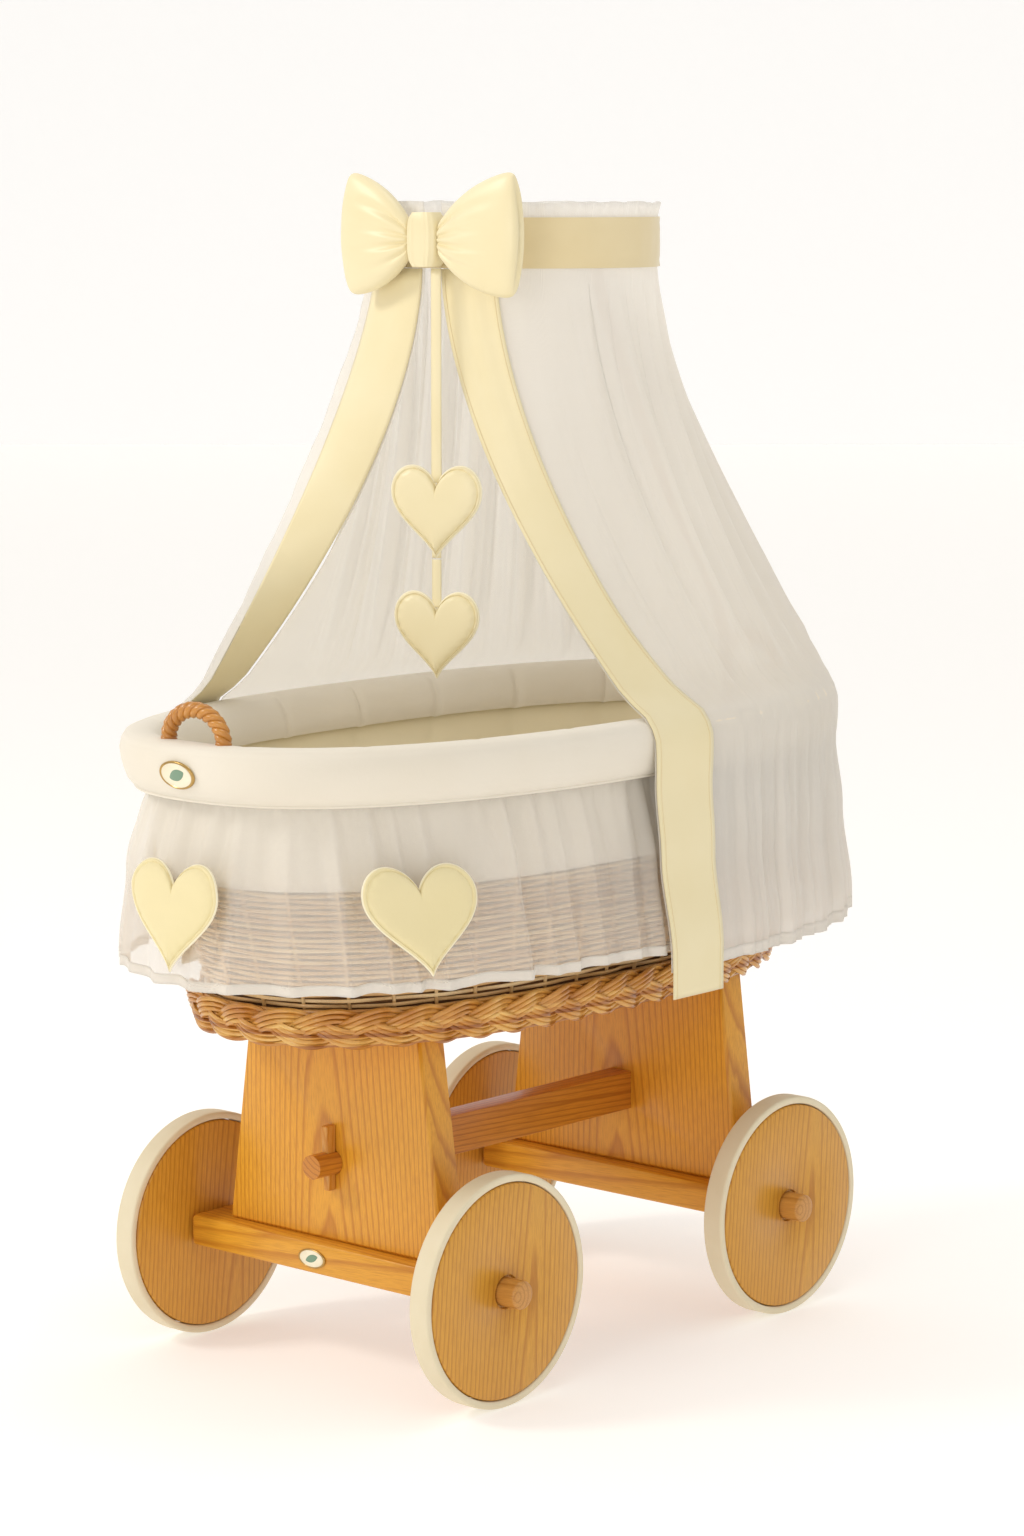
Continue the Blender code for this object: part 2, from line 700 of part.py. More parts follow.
skirt_heart("foot_skirt_heart", 60.0, BUMPER_LOW - 0.120)
skirt_heart("right_skirt_heart", 67.5, BUMPER_LOW - 0.120)
skirt_heart("left_skirt_heart", 49.5, BUMPER_LOW - 0.120)
face_low = around(60, bumper_out, BUMPER_LOW + 0.014)
face_high = around(60, bumper_out, BUMPER_TOP - 0.024)
face_up = (face_high - face_low).normalized()
face_out = Vector((1, 0, 0)).cross(face_up).normalized()
face_middle = face_low * 0.4 + face_high * 0.6
badge("bumper_badge", "enamel", face_middle + face_out * GAP, Vector((1, 0, 0)), face_up, face_out,
      0.044, 0.028, 0.0020)

# Canopy
HOOP = []
for i in range(40):
    turn = 2 * math.pi * i / 40
    hoop_y = CROWN_CENTRE_Y + CROWN_LENGTH / 2 * math.sin(turn)
    HOOP.append((CROWN_WIDTH / 2 * math.cos(turn), hoop_y, HOOP_Z))
tube("crown_hoop", "dark_pine", HOOP, HOOP_DIAMETER / 2, True, 1)


def crown(angle, out, z):
    c = math.cos(angle)
    s = math.sin(angle)
    nx = c / (CROWN_WIDTH / 2)
    ny = s / (CROWN_LENGTH / 2)
    size = math.hypot(nx, ny)
    x = CROWN_WIDTH / 2 * c + out * nx / size
    y = CROWN_CENTRE_Y + CROWN_LENGTH / 2 * s + out * ny / size
    return Vector((x, y, z))


LAND_Z = BUMPER_TOP - 0.002 + SOFT_GAP
CREST = HOOP_DIAMETER / 2 + SOFT_GAP
FRONT_GAP = math.radians(5.0)


def hump(share):
    """One at the head end and none at the sides, for the rise over the head handle."""
    middle = (STATIONS / 4 - DRAPE_RIGHT) / (DRAPE_LEFT - DRAPE_RIGHT)
    away = abs(share - middle) / 0.14
    return 0.5 + 0.5 * math.cos(math.pi * away) if away < 1 else 0.0


def crown_share(share):
    """The share of the hoop that a column hangs from: wider near the front edges than along the basket."""
    return share + 0.055 * math.sin(2 * math.pi * share)


FLAP_TOP = -math.pi / 2 + FRONT_GAP
FLAP_TURN = 2 * math.pi - 2 * FRONT_GAP
FALL = ((0.10, 0.003), (0.24, 0.006), (0.42, 0.009), (0.60, 0.010), (0.76, 0.009), (0.90, 0.005), (1.0, 0.0))
LOWER = ((0.0155, LAND_Z + 0.0002, 0.0, 0.0), (0.0290, BUMPER_TOP - 0.024, 0.0, 0.0),
         (0.0360, BUMPER_LOW - 0.006, 0.001, 0.1),
         (SKIRT_FLARE * 0.6 + 0.011, SKIRT_MIDDLE, 0.004, 0.7), (SKIRT_FLARE + 0.013, SKIRT_HEM, 0.004, 1.0),
         (SKIRT_FLARE + 0.018, SKIRT_HEM - 0.018, 0.004, 1.1))
FALL_START = HOOP_Z - BAND_HEIGHT / 2


def fallen(top, land, h, power):
    """A point of cloth between the hoop and the bumper, which flares as it falls."""
    spot = top.lerp(land, h ** power)
    spot.z = top.z + (land.z - top.z) * h
    return spot


def drape_rows():
    """Points of the drape's inner face: one row per level, one point per column."""
    rows = []
    top = [(CROWN_Z, 0.003), (CROWN_Z - RUFFLE_HEIGHT, 0.0), (HOOP_Z, 0.0), (FALL_START, 0.0)]
    shares = [i / DRAPE_COLUMNS for i in range(DRAPE_COLUMNS + 1)]
    for z, out in top:
        rows.append([crown(FLAP_TOP + crown_share(s) * FLAP_TURN, CREST + out, z) for s in shares])
    for h, fold in FALL:
        row = []
        for i, s in enumerate(shares):
            u = DRAPE_RIGHT + s * (DRAPE_LEFT - DRAPE_RIGHT)
            lift = hump(s)
            land = around(u, 0.026 * lift, LAND_Z + (HANDLE_RISE + 0.006) * lift)
            c = crown(FLAP_TOP + crown_share(s) * FLAP_TURN, CREST, FALL_START)
            away = Vector((land.x - c.x, land.y - c.y, 0)).normalized()
            row.append(fallen(c, land, h, 1.7 - 0.45 * lift) + away * (fold * wave(i, s)))
        rows.append(row)
    for out, z, fold, share in LOWER:
        row = []
        for i, s in enumerate(shares):
            u = DRAPE_RIGHT + s * (DRAPE_LEFT - DRAPE_RIGHT)
            extra = 0.012 * hump(s) if z > BUMPER_LOW else 0.0
            row.append(around(u, out - tuck(u) * share + extra + fold * (1 + wave(i, s)), z))
        rows.append(row)
    return rows


def wave(i, share):
    """The drape's folds, which fade out under the ribbons."""
    edge = min(i, DRAPE_COLUMNS - i - 3) - RIBBON_COLUMNS
    if edge <= 0:
        return 0.0
    return min(1.0, edge / 4) * math.sin(2 * math.pi * DRAPE_WAVES * share)


def grown(rows, distance):
    """The rows moved along their own surface's outward normals."""
    found = []
    for i, row in enumerate(rows):
        moved = []
        for j, spot in enumerate(row):
            across = row[min(j + 1, len(row) - 1)] - row[max(j - 1, 0)]
            down = rows[min(i + 1, len(rows) - 1)][j] - rows[max(i - 1, 0)][j]
            way = down.cross(across)
            moved.append(spot + way.normalized() * distance)
        found.append(moved)
    return found


def sheet(name, kind, inner, outer):
    """A closed thin solid between two matching grids of points."""
    tall = len(inner)
    wide = len(inner[0])
    size = tall * wide
    points = [p for row in inner for p in row] + [p for row in outer for p in row]
    faces = []
    for i in range(tall - 1):
        for j in range(wide - 1):
            a = i * wide + j
            b = a + 1
            d = a + wide
            c = d + 1
            faces += [(a, b, c), (a, c, d), (size + a, size + b, size + c), (size + a, size + c, size + d)]
    edge = [j for j in range(wide)] + [i * wide + wide - 1 for i in range(1, tall)]
    edge += [(tall - 1) * wide + j for j in range(wide - 2, -1, -1)]
    edge += [i * wide for i in range(tall - 2, 0, -1)]
    for a, b in zip(edge, edge[1:] + edge[:1]):
        faces.append((a, b, size + b, size + a))
    return from_faces(name, kind, points, faces)


ROWS = drape_rows()
SKIN = grown(ROWS, FABRIC)
sheet("canopy_drape", "sheer", ROWS, SKIN)
over = grown(ROWS, FABRIC + GAP)
satin = grown(ROWS, FABRIC + GAP + SATIN)


def ribbon(name, under, upper):
    drop = Vector((0, 0, -RIBBON_DROP))
    under.append([p + drop for p in under[-1]])
    upper.append([p + drop for p in upper[-1]])
    return sheet(name, "satin", under, upper)


def lapel():
    """The left ribbon's rows: it starts at the drape's edge, and turns back outside it near the hoop."""
    rows = []
    shares = [i / 4 for i in range(5)]
    for h, _ in ((0.0, 0.0),) + FALL:
        row = []
        for t in shares:
            land = around(DRAPE_LEFT + LAPEL_STATIONS * t, 0.0, LAND_Z)
            c = crown(FLAP_TOP + FLAP_TURN - math.radians(30) * t, CREST + LAPEL_STAND * t, FALL_START)
            row.append(fallen(c, land, h, 1.7 - 0.3 * t))
        rows.append(row)
    for out, z, fold, share in LOWER:
        row = []
        for t in shares:
            u = DRAPE_LEFT + LAPEL_STATIONS * t
            row.append(around(u, out - tuck(u) * share + fold, z))
        rows.append(row)
    for row, bare, skin in zip(rows, ROWS[3:], SKIN[3:]):
        lift = (skin[-1] - bare[-1]) * ((FABRIC + GAP + SATIN) / FABRIC)
        for spot in row:
            spot += lift
    return rows


right_under = [row[:RIBBON_COLUMNS + 1] for row in over[3:]]
right_upper = [row[:RIBBON_COLUMNS + 1] for row in satin[3:]]
ribbon("right_ribbon", right_under, right_upper)
LAPEL = lapel()
ribbon("left_ribbon", grown(LAPEL, 0.0), grown(LAPEL, -SATIN))

band_rows = []
BAND_IN = CREST + FABRIC + 0.0008
BAND_OUT = BAND_IN + 0.0014
band_top = CROWN_Z - RUFFLE_HEIGHT
band_low = FALL_START + 0.001
for i in range(64):
    turn = -math.pi / 2 + 2 * math.pi * i / 64
    band_rows.append([crown(turn, BAND_IN, band_top), crown(turn, BAND_OUT, band_top),
                      crown(turn, BAND_OUT, band_low), crown(turn, BAND_IN, band_low)])
band_points, band_faces = ruled(band_rows, True, True)
from_faces("crown_band", "satin", band_points, band_faces)
BAND_FRONT = CROWN_CENTRE_Y - CROWN_LENGTH / 2 - BAND_OUT


def smooth_path(knots, steps):
    found = []
    for i in range(len(knots) - 1):
        p0 = Vector(knots[max(i - 1, 0)])
        p1 = Vector(knots[i])
        p2 = Vector(knots[i + 1])
        p3 = Vector(knots[min(i + 2, len(knots) - 1)])
        for j in range(steps):
            t = j / steps
            found.append(0.5 * (2 * p1 + (p2 - p0) * t + (2 * p0 - 5 * p1 + 4 * p2 - p3) * t * t
                                + (3 * p1 - p0 - 3 * p2 + p3) * t ** 3))
    found.append(Vector(knots[-1]))
    return found


BACK = CROWN_CENTRE_Y + CROWN_LENGTH / 2
rim_y = RIM_LENGTH / 2
pole_low = BASKET_LENGTH / 2 - 0.032
saddle_y = BACK - 0.011
pole_knots = [(0, pole_low, BASE_TOP - 0.0065), (0, rim_y - 0.047, WALL_TOP - 0.02)]
pole_knots += [(0, rim_y - 0.044, BUMPER_TOP), (0, rim_y - 0.072, BUMPER_TOP + 0.090)]
climb = HOOP_Z - BUMPER_TOP
pole_knots += [(0, BACK + (rim_y - BACK) * 0.43, BUMPER_TOP + climb * 0.42),
               (0, BACK + (rim_y - BACK) * 0.15, BUMPER_TOP + climb * 0.68),
               (0, saddle_y - 0.001, BUMPER_TOP + climb * 0.90), (0, saddle_y, HOOP_Z - 0.010)]
pole_path = smooth_path(pole_knots, 4)
tube("canopy_pole", "dark_pine", pole_path, POLE_DIAMETER / 2, False, 2)
longer = [pole_path[0] + (pole_path[0] - pole_path[1]).normalized() * 0.001] + pole_path
longer.append(pole_path[-1] + (pole_path[-1] - pole_path[-2]).normalized() * 0.001)
pole_tool = tube("pole_tool", None, longer, POLE_DIAMETER / 2 + GAP, False, 2)
cut(BASE, pole_tool)
slope = (pole_path[2] - pole_path[0]).normalized()
mattress_end = pole_path[0] + slope * ((MATTRESS_THICKNESS + 0.03) / slope.z)
mattress_tool = rod("pole_gap_tool", None, pole_path[0] - slope * 0.01, mattress_end,
                    POLE_DIAMETER / 2 + 0.005, 24)
cut(MATTRESS, mattress_tool)
saddle = box("crown_saddle", "dark_pine", (-CLAMP_HALF, BACK - 0.022, HOOP_Z - 0.016),
             (CLAMP_HALF, BACK + 0.001, HOOP_Z + 0.012), 0.0015, 1)
hoop_tool = tube("hoop_tool", None, HOOP, HOOP_DIAMETER / 2 + GAP, True, 1)
cut(saddle, hoop_tool, pole_tool)
clip_z = BUMPER_LOW - 0.035
clip_low = clip_z - 0.009
clip_sag = RIM_LENGTH / 2 * (2 * CLAMP_HALF / BASKET_WIDTH) ** OVAL_POWER / OVAL_POWER
liner_face = around(20, liner_out - LINER_THICKNESS, clip_low).y - 0.0085 * (WALL_TOP - clip_low) / WALL_HEIGHT
clip_face = liner_face - clip_sag - SOFT_GAP
clip = box("pole_clip", "dark_pine", (-CLAMP_HALF, clip_face - 0.036, clip_low),
           (CLAMP_HALF, clip_face, clip_z + 0.009), 0.0015, 1)
cut(clip, pole_tool)

# Bow, hanging ribbon and hearts
KNOT_Z = HOOP_Z + 0.004
knot_back = BAND_FRONT - GAP
KNOT = box("bow_knot", "satin", (BOW_X - 0.021, knot_back - 0.030, KNOT_Z - 0.029),
           (BOW_X + 0.021, knot_back, KNOT_Z + 0.029), 0.009, 3)


# Each section of a bow loop: its share of the length, half its height and half its thickness
LOOP_SECTIONS = ((0.0, 0.016, 0.007), (0.10, 0.030, 0.010), (0.28, 0.052, 0.0145), (0.52, 0.068, 0.0158),
                 (0.75, 0.066, 0.0150), (0.90, 0.052, 0.0120), (0.975, 0.034, 0.0075))


def bow_loop(name, side, length):
    """One puffed loop, narrow at the knot and full at its end."""
    rows = []
    centre_y = knot_back - 0.0165
    for share, tall, thick in LOOP_SECTIONS:
        x = BOW_X + side * (0.021 + GAP + length * share)
        row = []
        for i in range(16):
            turn = 2 * math.pi * i / 16
            row.append(Vector((x, centre_y + thick * math.cos(turn),
                               KNOT_Z + 0.006 * share + tall * (BOW_HEIGHT / 0.136) * math.sin(turn))))
        rows.append(row)
    points = [p for row in rows for p in row]
    tip = len(points)
    points.append(Vector((BOW_X + side * (0.021 + GAP + length), centre_y, KNOT_Z + 0.006)))
    faces = [tuple(range(16))]
    for i in range(len(rows) - 1):
        for j in range(16):
            n = (j + 1) % 16
            faces.append((i * 16 + j, i * 16 + n, (i + 1) * 16 + n, (i + 1) * 16 + j))
    last = (len(rows) - 1) * 16
    for j in range(16):
        faces.append((last + j, last + (j + 1) % 16, tip))
    return from_faces(name, "satin", points, faces)


bow_loop("left_bow_loop", -1, LEFT_LOOP)
bow_loop("right_bow_loop", 1, RIGHT_LOOP)

HANG_Y = knot_back - 0.015
HANG_ACROSS = Vector((math.cos(math.radians(HANG_TURN)), math.sin(math.radians(HANG_TURN)), 0))
HANG_OUT = Vector((HANG_ACROSS.y, -HANG_ACROSS.x, 0))
HANG_TOP = KNOT_Z - 0.029 - GAP


def hung(x, out, z):
    """A point in the hanging ribbon's own plane."""
    return Vector((HANG_X, HANG_Y, z)) + HANG_ACROSS * x + HANG_OUT * out


def heart(name, z, size):
    """A padded heart, pinched towards its edge. The z is its top."""
    outline = heart_outline(32)
    points = []
    faces = []
    count = len(outline)
    levels = ((1.0, 0.0025), (0.90, 0.0075), (0.62, 0.0105))
    middle = z - HEART_HEIGHT * size / 2
    for side in (-1, 1):
        for share, depth in levels:
            for x, y in outline:
                points.append(hung(x * HEART_WIDTH * size * share, side * depth * HEART_THICKNESS / 0.022,
                                   middle + (y * share + 0.04 * (1 - share)) * HEART_HEIGHT * size))
    for half in (0, 1):
        start = half * 3 * count
        for level in (0, 1):
            for i in range(count):
                n = (i + 1) % count
                a = start + level * count
                faces.append((a + i, a + n, a + count + n, a + count + i))
        faces.append(tuple(range(start + 2 * count, start + 3 * count)))
    for i in range(count):
        n = (i + 1) % count
        faces.append((i, n, 3 * count + n, 3 * count + i))
    return from_faces(name, "satin", points, faces)


def notch_drop():
    """How far the heart's notch lies below its top, at the middle."""
    outline = heart_outline(32)
    return (0.5 - outline[0][1]) * HEART_HEIGHT


def pointed_strip(name, half, top, notch):
    """A flat ribbon whose lower end narrows into a heart's notch."""
    rise = HEART_HEIGHT / 0.1
    outline = ((-half, top), (half, top), (half, notch + 0.020 * rise), (0.0005, notch + 0.0052 * rise),
               (-0.0005, notch + 0.0052 * rise), (-half, notch + 0.020 * rise))
    points = [hung(x, -0.0006, z) for x, z in outline] + [hung(x, 0.0006, z) for x, z in outline]
    faces = [tuple(range(6)), tuple(range(6, 12))]
    for i in range(6):
        n = (i + 1) % 6
        faces.append((i, n, 6 + n, 6 + i))
    return from_faces(name, "satin", points, faces)


drop = notch_drop()
upper_top = HANG_TOP - 0.212
pointed_strip("hanging_ribbon", 0.006, HANG_TOP, upper_top - drop)
heart("upper_heart", upper_top, 1.0)
link_top = upper_top - HEART_HEIGHT - GAP
lower_top = link_top - 0.036
pointed_strip("link_ribbon", 0.0055, link_top, lower_top - drop * LOWER_HEART)
heart("lower_heart", lower_top, LOWER_HEART)

# Centre the whole on the floor
low_y = min(v.co.y for thing in PARTS.objects for v in thing.data.vertices)
high_y = max(v.co.y for thing in PARTS.objects for v in thing.data.vertices)
for group in (PARTS, CUTTERS):
    for thing in group.objects:
        for spot in thing.data.vertices:
            spot.co.y -= (low_y + high_y) / 2
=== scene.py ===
import json
import math

import bpy
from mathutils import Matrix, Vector, noise

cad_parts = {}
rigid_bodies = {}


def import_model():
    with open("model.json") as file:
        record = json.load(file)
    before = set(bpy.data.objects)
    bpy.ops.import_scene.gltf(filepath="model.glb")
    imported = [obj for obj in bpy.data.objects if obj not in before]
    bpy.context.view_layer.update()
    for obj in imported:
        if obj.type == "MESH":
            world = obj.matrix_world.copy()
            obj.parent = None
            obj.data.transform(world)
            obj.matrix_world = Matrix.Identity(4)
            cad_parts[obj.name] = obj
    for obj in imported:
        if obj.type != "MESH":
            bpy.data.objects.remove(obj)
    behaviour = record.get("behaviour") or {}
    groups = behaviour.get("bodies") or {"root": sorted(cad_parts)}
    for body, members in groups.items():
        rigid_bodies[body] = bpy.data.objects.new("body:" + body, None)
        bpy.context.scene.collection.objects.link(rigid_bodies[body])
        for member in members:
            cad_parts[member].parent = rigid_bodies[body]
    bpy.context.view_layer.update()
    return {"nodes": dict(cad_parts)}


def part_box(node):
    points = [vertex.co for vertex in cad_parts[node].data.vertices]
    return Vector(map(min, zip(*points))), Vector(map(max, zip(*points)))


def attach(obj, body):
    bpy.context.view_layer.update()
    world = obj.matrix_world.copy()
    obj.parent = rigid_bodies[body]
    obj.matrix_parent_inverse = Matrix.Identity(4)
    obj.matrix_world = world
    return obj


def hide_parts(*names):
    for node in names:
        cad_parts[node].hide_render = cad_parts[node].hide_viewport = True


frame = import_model()
cadNodes = frame["nodes"]
corners = ("foot_left", "foot_right", "head_left", "head_right")
bpy.ops.object.select_all(action="DESELECT")
print("frame loaded:", len(cadNodes), "nodes")


# colours and nodes

def linear(code):  # an sRGB hex value as Blender's linear colour
    parts = [int(code[i:i + 2], 16) / 255 for i in (1, 3, 5)]
    return [p / 12.92 if p <= 0.04045 else ((p + 0.055) / 1.055) ** 2.4 for p in parts] + [1.0]


def addNode(tree, kind, values=None, links=None, **settings):
    node = tree.nodes.new(kind)
    for name, value in settings.items():
        setattr(node, name, value)
    for name, value in (values or {}).items():
        node.inputs[name].default_value = value
    for name, source in (links or {}).items():
        tree.links.new(source, node.inputs[name])
    return node


def newMaterial(name, **values):  # a Principled surface; its plain sockets are set straight on it
    material = bpy.data.materials.new(name)
    material.use_nodes = True
    tree = material.node_tree
    shader = tree.nodes["Principled BSDF"]
    for socket, value in values.items():
        shader.inputs[socket.replace("_", " ")].default_value = value
    return material, tree, shader


def rampColours(tree, source, stops):  # a colour ramp through (place, hex) stops
    ramp = addNode(tree, "ShaderNodeValToRGB", links={"Fac": source})
    points = ramp.color_ramp.elements
    while len(points) < len(stops):
        points.new(0.5)
    for point, (place, code) in zip(points, stops):
        point.position = place
        point.color = linear(code)
    return ramp.outputs["Color"]


def mixColour(tree, share, first, second):
    node = addNode(tree, "ShaderNodeMix", data_type="RGBA")
    for index, value in ((0, share), (6, first), (7, second)):
        if isinstance(value, str):
            node.inputs[index].default_value = linear(value)
        elif isinstance(value, float):
            node.inputs[index].default_value = value
        else:
            tree.links.new(value, node.inputs[index])
    return node.outputs[2]


def addBump(tree, shader, height, distance, strength=1.0):
    bump = addNode(tree, "ShaderNodeBump", {"Distance": distance, "Strength": strength}, {"Height": height})
    tree.links.new(bump.outputs["Normal"], shader.inputs["Normal"])


# timber

timber = {
    "ringSpacing": 0.0062,  # metres between growth rings where they meet the face
    "poreLength": 0.030,
    "poreWidth": 0.0009,
}


# Sawn pine under honey varnish: pale early wood, thin darker late wood, and fine pores along the grain.
def pineWood(name, along, centre, light, dark, deep, roughness=0.42, tilt=3.0):
    material, tree, shader = newMaterial(name, Roughness=roughness, Coat_Weight=0.18, Coat_Roughness=0.22)
    place = addNode(tree, "ShaderNodeTexCoord").outputs["Object"]
    turn = {"Z": (math.radians(tilt), math.radians(tilt * 0.6), 0.0),
            "X": (0.0, math.radians(90 + tilt), math.radians(tilt)),
            "Y": (math.radians(90 + tilt), 0.0, math.radians(tilt))}[along]
    moved = addNode(tree, "ShaderNodeMapping", {"Location": [-c for c in centre]}, {"Vector": place})
    turned = addNode(tree, "ShaderNodeMapping", {"Rotation": turn}, {"Vector": moved.outputs["Vector"]})
    drawn = addNode(tree, "ShaderNodeMapping", {"Scale": (1.0, 1.0, 0.11)},
                    {"Vector": turned.outputs["Vector"]})
    wander = addNode(tree, "ShaderNodeTexNoise", {"Scale": 9.0, "Detail": 2.0},
                     {"Vector": drawn.outputs["Vector"]})
    shifted = addNode(tree, "ShaderNodeVectorMath", operation="SCALE",
                      values={"Scale": 0.020}, links={0: wander.outputs["Color"]})
    bent = addNode(tree, "ShaderNodeVectorMath", operation="ADD",
                   links={0: drawn.outputs["Vector"], 1: shifted.outputs["Vector"]})
    rings = addNode(tree, "ShaderNodeTexWave", {"Scale": 0.314 / timber["ringSpacing"], "Distortion": 1.2,
                                                "Detail": 2.0, "Detail Scale": 2.0, "Detail Roughness": 0.6},
                    {"Vector": bent.outputs["Vector"]}, wave_type="RINGS", rings_direction="Z",
                    wave_profile="SAW")
    fine = addNode(tree, "ShaderNodeMapping", {"Scale": (1 / timber["poreWidth"], 1 / timber["poreWidth"],
                                                         1 / timber["poreLength"])},
                   {"Vector": turned.outputs["Vector"]})
    pores = addNode(tree, "ShaderNodeTexNoise", {"Scale": 1.0, "Detail": 3.0, "Roughness": 0.62},
                    {"Vector": fine.outputs["Vector"]})
    patch = addNode(tree, "ShaderNodeTexNoise", {"Scale": 5.0, "Detail": 1.0},
                    {"Vector": drawn.outputs["Vector"]})
    ringColour = rampColours(tree, rings.outputs["Fac"],
                             ((0.0, light), (0.55, light), (0.86, dark), (1.0, light)))
    poreShare = rampColours(tree, pores.outputs["Fac"], ((0.42, "#000000"), (0.72, "#ffffff")))
    streaked = mixColour(tree, poreShare, ringColour, deep)
    softer = mixColour(tree, 0.55, ringColour, streaked)
    patchShare = rampColours(tree, patch.outputs["Fac"], ((0.35, "#000000"), (0.75, "#5c5c5c")))
    tree.links.new(mixColour(tree, patchShare, softer, dark), shader.inputs["Base Color"])
    addBump(tree, shader, pores.outputs["Fac"], 0.0003, 0.25)
    return material


def boardPine(name, box, light="#e4a42e", dark="#c37d18", deep="#ad6c10", along="Z", back=0.035, tilt=3.0):
    low, high = box
    middle = (low + high) / 2
    centre = {"Z": (middle.x, middle.y + back, middle.z), "X": (middle.x, middle.y + back, middle.z),
              "Y": (middle.x + back, middle.y, middle.z)}[along]
    return pineWood(name, along, centre, light, dark, deep, tilt=tilt)


# Peeled willow rods, steamed and varnished: each rod has its own brown, the darker tones of the ramp stand in
# as painted shade for the gaps between rods though they fall at random along the rods, and a soft shine.
def willow(name, rowHeight, low, tones=("#94551a", "#b9772a", "#d09542", "#e6b866")):
    material, tree, shader = newMaterial(name, Roughness=0.36, Coat_Weight=0.45, Coat_Roughness=0.18)
    place = addNode(tree, "ShaderNodeTexCoord").outputs["Object"]
    split = addNode(tree, "ShaderNodeSeparateXYZ", links={0: place})
    lifted = addNode(tree, "ShaderNodeMath", {1: low}, {0: split.outputs["Z"]}, operation="SUBTRACT")
    rows = addNode(tree, "ShaderNodeMath", {1: rowHeight}, {0: lifted.outputs["Value"]}, operation="DIVIDE")
    row = addNode(tree, "ShaderNodeMath", links={0: rows.outputs["Value"]}, operation="FLOOR")
    rowTone = addNode(tree, "ShaderNodeTexWhiteNoise", links={"W": row.outputs["Value"]}, noise_dimensions="1D")
    broad = addNode(tree, "ShaderNodeTexNoise", {"Scale": 22.0, "Detail": 2.0}, {"Vector": place})
    flecks = addNode(tree, "ShaderNodeTexNoise", {"Scale": 420.0, "Detail": 2.0}, {"Vector": place})
    tone = addNode(tree, "ShaderNodeMath", {1: 0.42}, {0: rowTone.outputs["Value"]}, operation="MULTIPLY")
    toned = addNode(tree, "ShaderNodeMath", {1: 0.62}, {0: broad.outputs["Fac"], 2: tone.outputs["Value"]},
                    operation="MULTIPLY_ADD")
    colour = rampColours(tree, toned.outputs["Value"],
                         list(zip((0.22, 0.42, 0.62, 0.8), tones)))
    fleckShare = rampColours(tree, flecks.outputs["Fac"], ((0.5, "#000000"), (0.7, "#606060")))
    tree.links.new(mixColour(tree, fleckShare, colour, "#7a430f"), shader.inputs["Base Color"])
    addBump(tree, shader, flecks.outputs["Fac"], 0.0004, 0.3)
    return material


# cloth

def weave(tree, spacing, source="UV"):  # crossed threads, as a height
    place = addNode(tree, "ShaderNodeTexCoord").outputs[source]
    heights = []
    for direction in ("X", "Y"):
        wave = addNode(tree, "ShaderNodeTexWave", {"Scale": 0.314 / spacing, "Distortion": 0.6, "Detail": 1.0,
                                                   "Detail Scale": 3.0},
                       {"Vector": place}, wave_type="BANDS", bands_direction=direction)
        heights.append(wave.outputs["Fac"])
    both = addNode(tree, "ShaderNodeMath", links={0: heights[0], 1: heights[1]}, operation="MAXIMUM")
    return both.outputs["Value"]


# Plain cotton: matt, softly blotched, with its threads as a fine relief, and the low places between the threads
# mixed a little toward the darker colour as painted shade.
def clothMaterial(name, base, shade, spacing, bump, source="UV"):
    material, tree, shader = newMaterial(name, Roughness=0.85, Sheen_Weight=0.25, Sheen_Roughness=0.45)
    threads = weave(tree, spacing, source)
    where = addNode(tree, "ShaderNodeTexCoord").outputs["Object"]
    soft = addNode(tree, "ShaderNodeTexNoise", {"Scale": 6.0, "Detail": 3.0}, {"Vector": where})
    ground = mixColour(tree, soft.outputs["Fac"], base, shade)
    # painted shade: the low places of the weave are mixed a little toward the shade colour
    weaveShadeShare = rampColours(tree, threads, ((0.0, "#3a3a3a"), (0.6, "#000000")))
    tree.links.new(mixColour(tree, weaveShadeShare, ground, shade), shader.inputs["Base Color"])
    addBump(tree, shader, threads, bump, 0.35)
    return material


# Cotton voile: a fine open weave that lets about a quarter of the light and the view through.
def voile(name, base, shade, alpha, glowShare=0.45, spacing=0.0011):
    material, tree, shader = newMaterial(name, Roughness=0.8, Sheen_Weight=0.15, Sheen_Roughness=0.5)
    threads = weave(tree, spacing)
    where = addNode(tree, "ShaderNodeTexCoord").outputs["Object"]
    soft = addNode(tree, "ShaderNodeTexNoise", {"Scale": 7.0, "Detail": 2.0}, {"Vector": where})
    tree.links.new(mixColour(tree, soft.outputs["Fac"], base, shade), shader.inputs["Base Color"])
    addBump(tree, shader, threads, 0.0002, 0.2)
    glow = addNode(tree, "ShaderNodeBsdfTranslucent", {"Color": linear(base)})
    lit = addNode(tree, "ShaderNodeMixShader", {0: glowShare},
                  {1: shader.outputs["BSDF"], 2: glow.outputs["BSDF"]})
    clear = addNode(tree, "ShaderNodeBsdfTransparent")
    cover = addNode(tree, "ShaderNodeMapRange", {"To Min": alpha[0], "To Max": alpha[1]}, {"Value": threads})
    seen = addNode(tree, "ShaderNodeMixShader",
                   links={0: cover.outputs["Result"], 1: clear.outputs["BSDF"], 2: lit.outputs["Shader"]})
    tree.links.new(seen.outputs["Shader"], tree.nodes["Material Output"].inputs["Surface"])
    return material


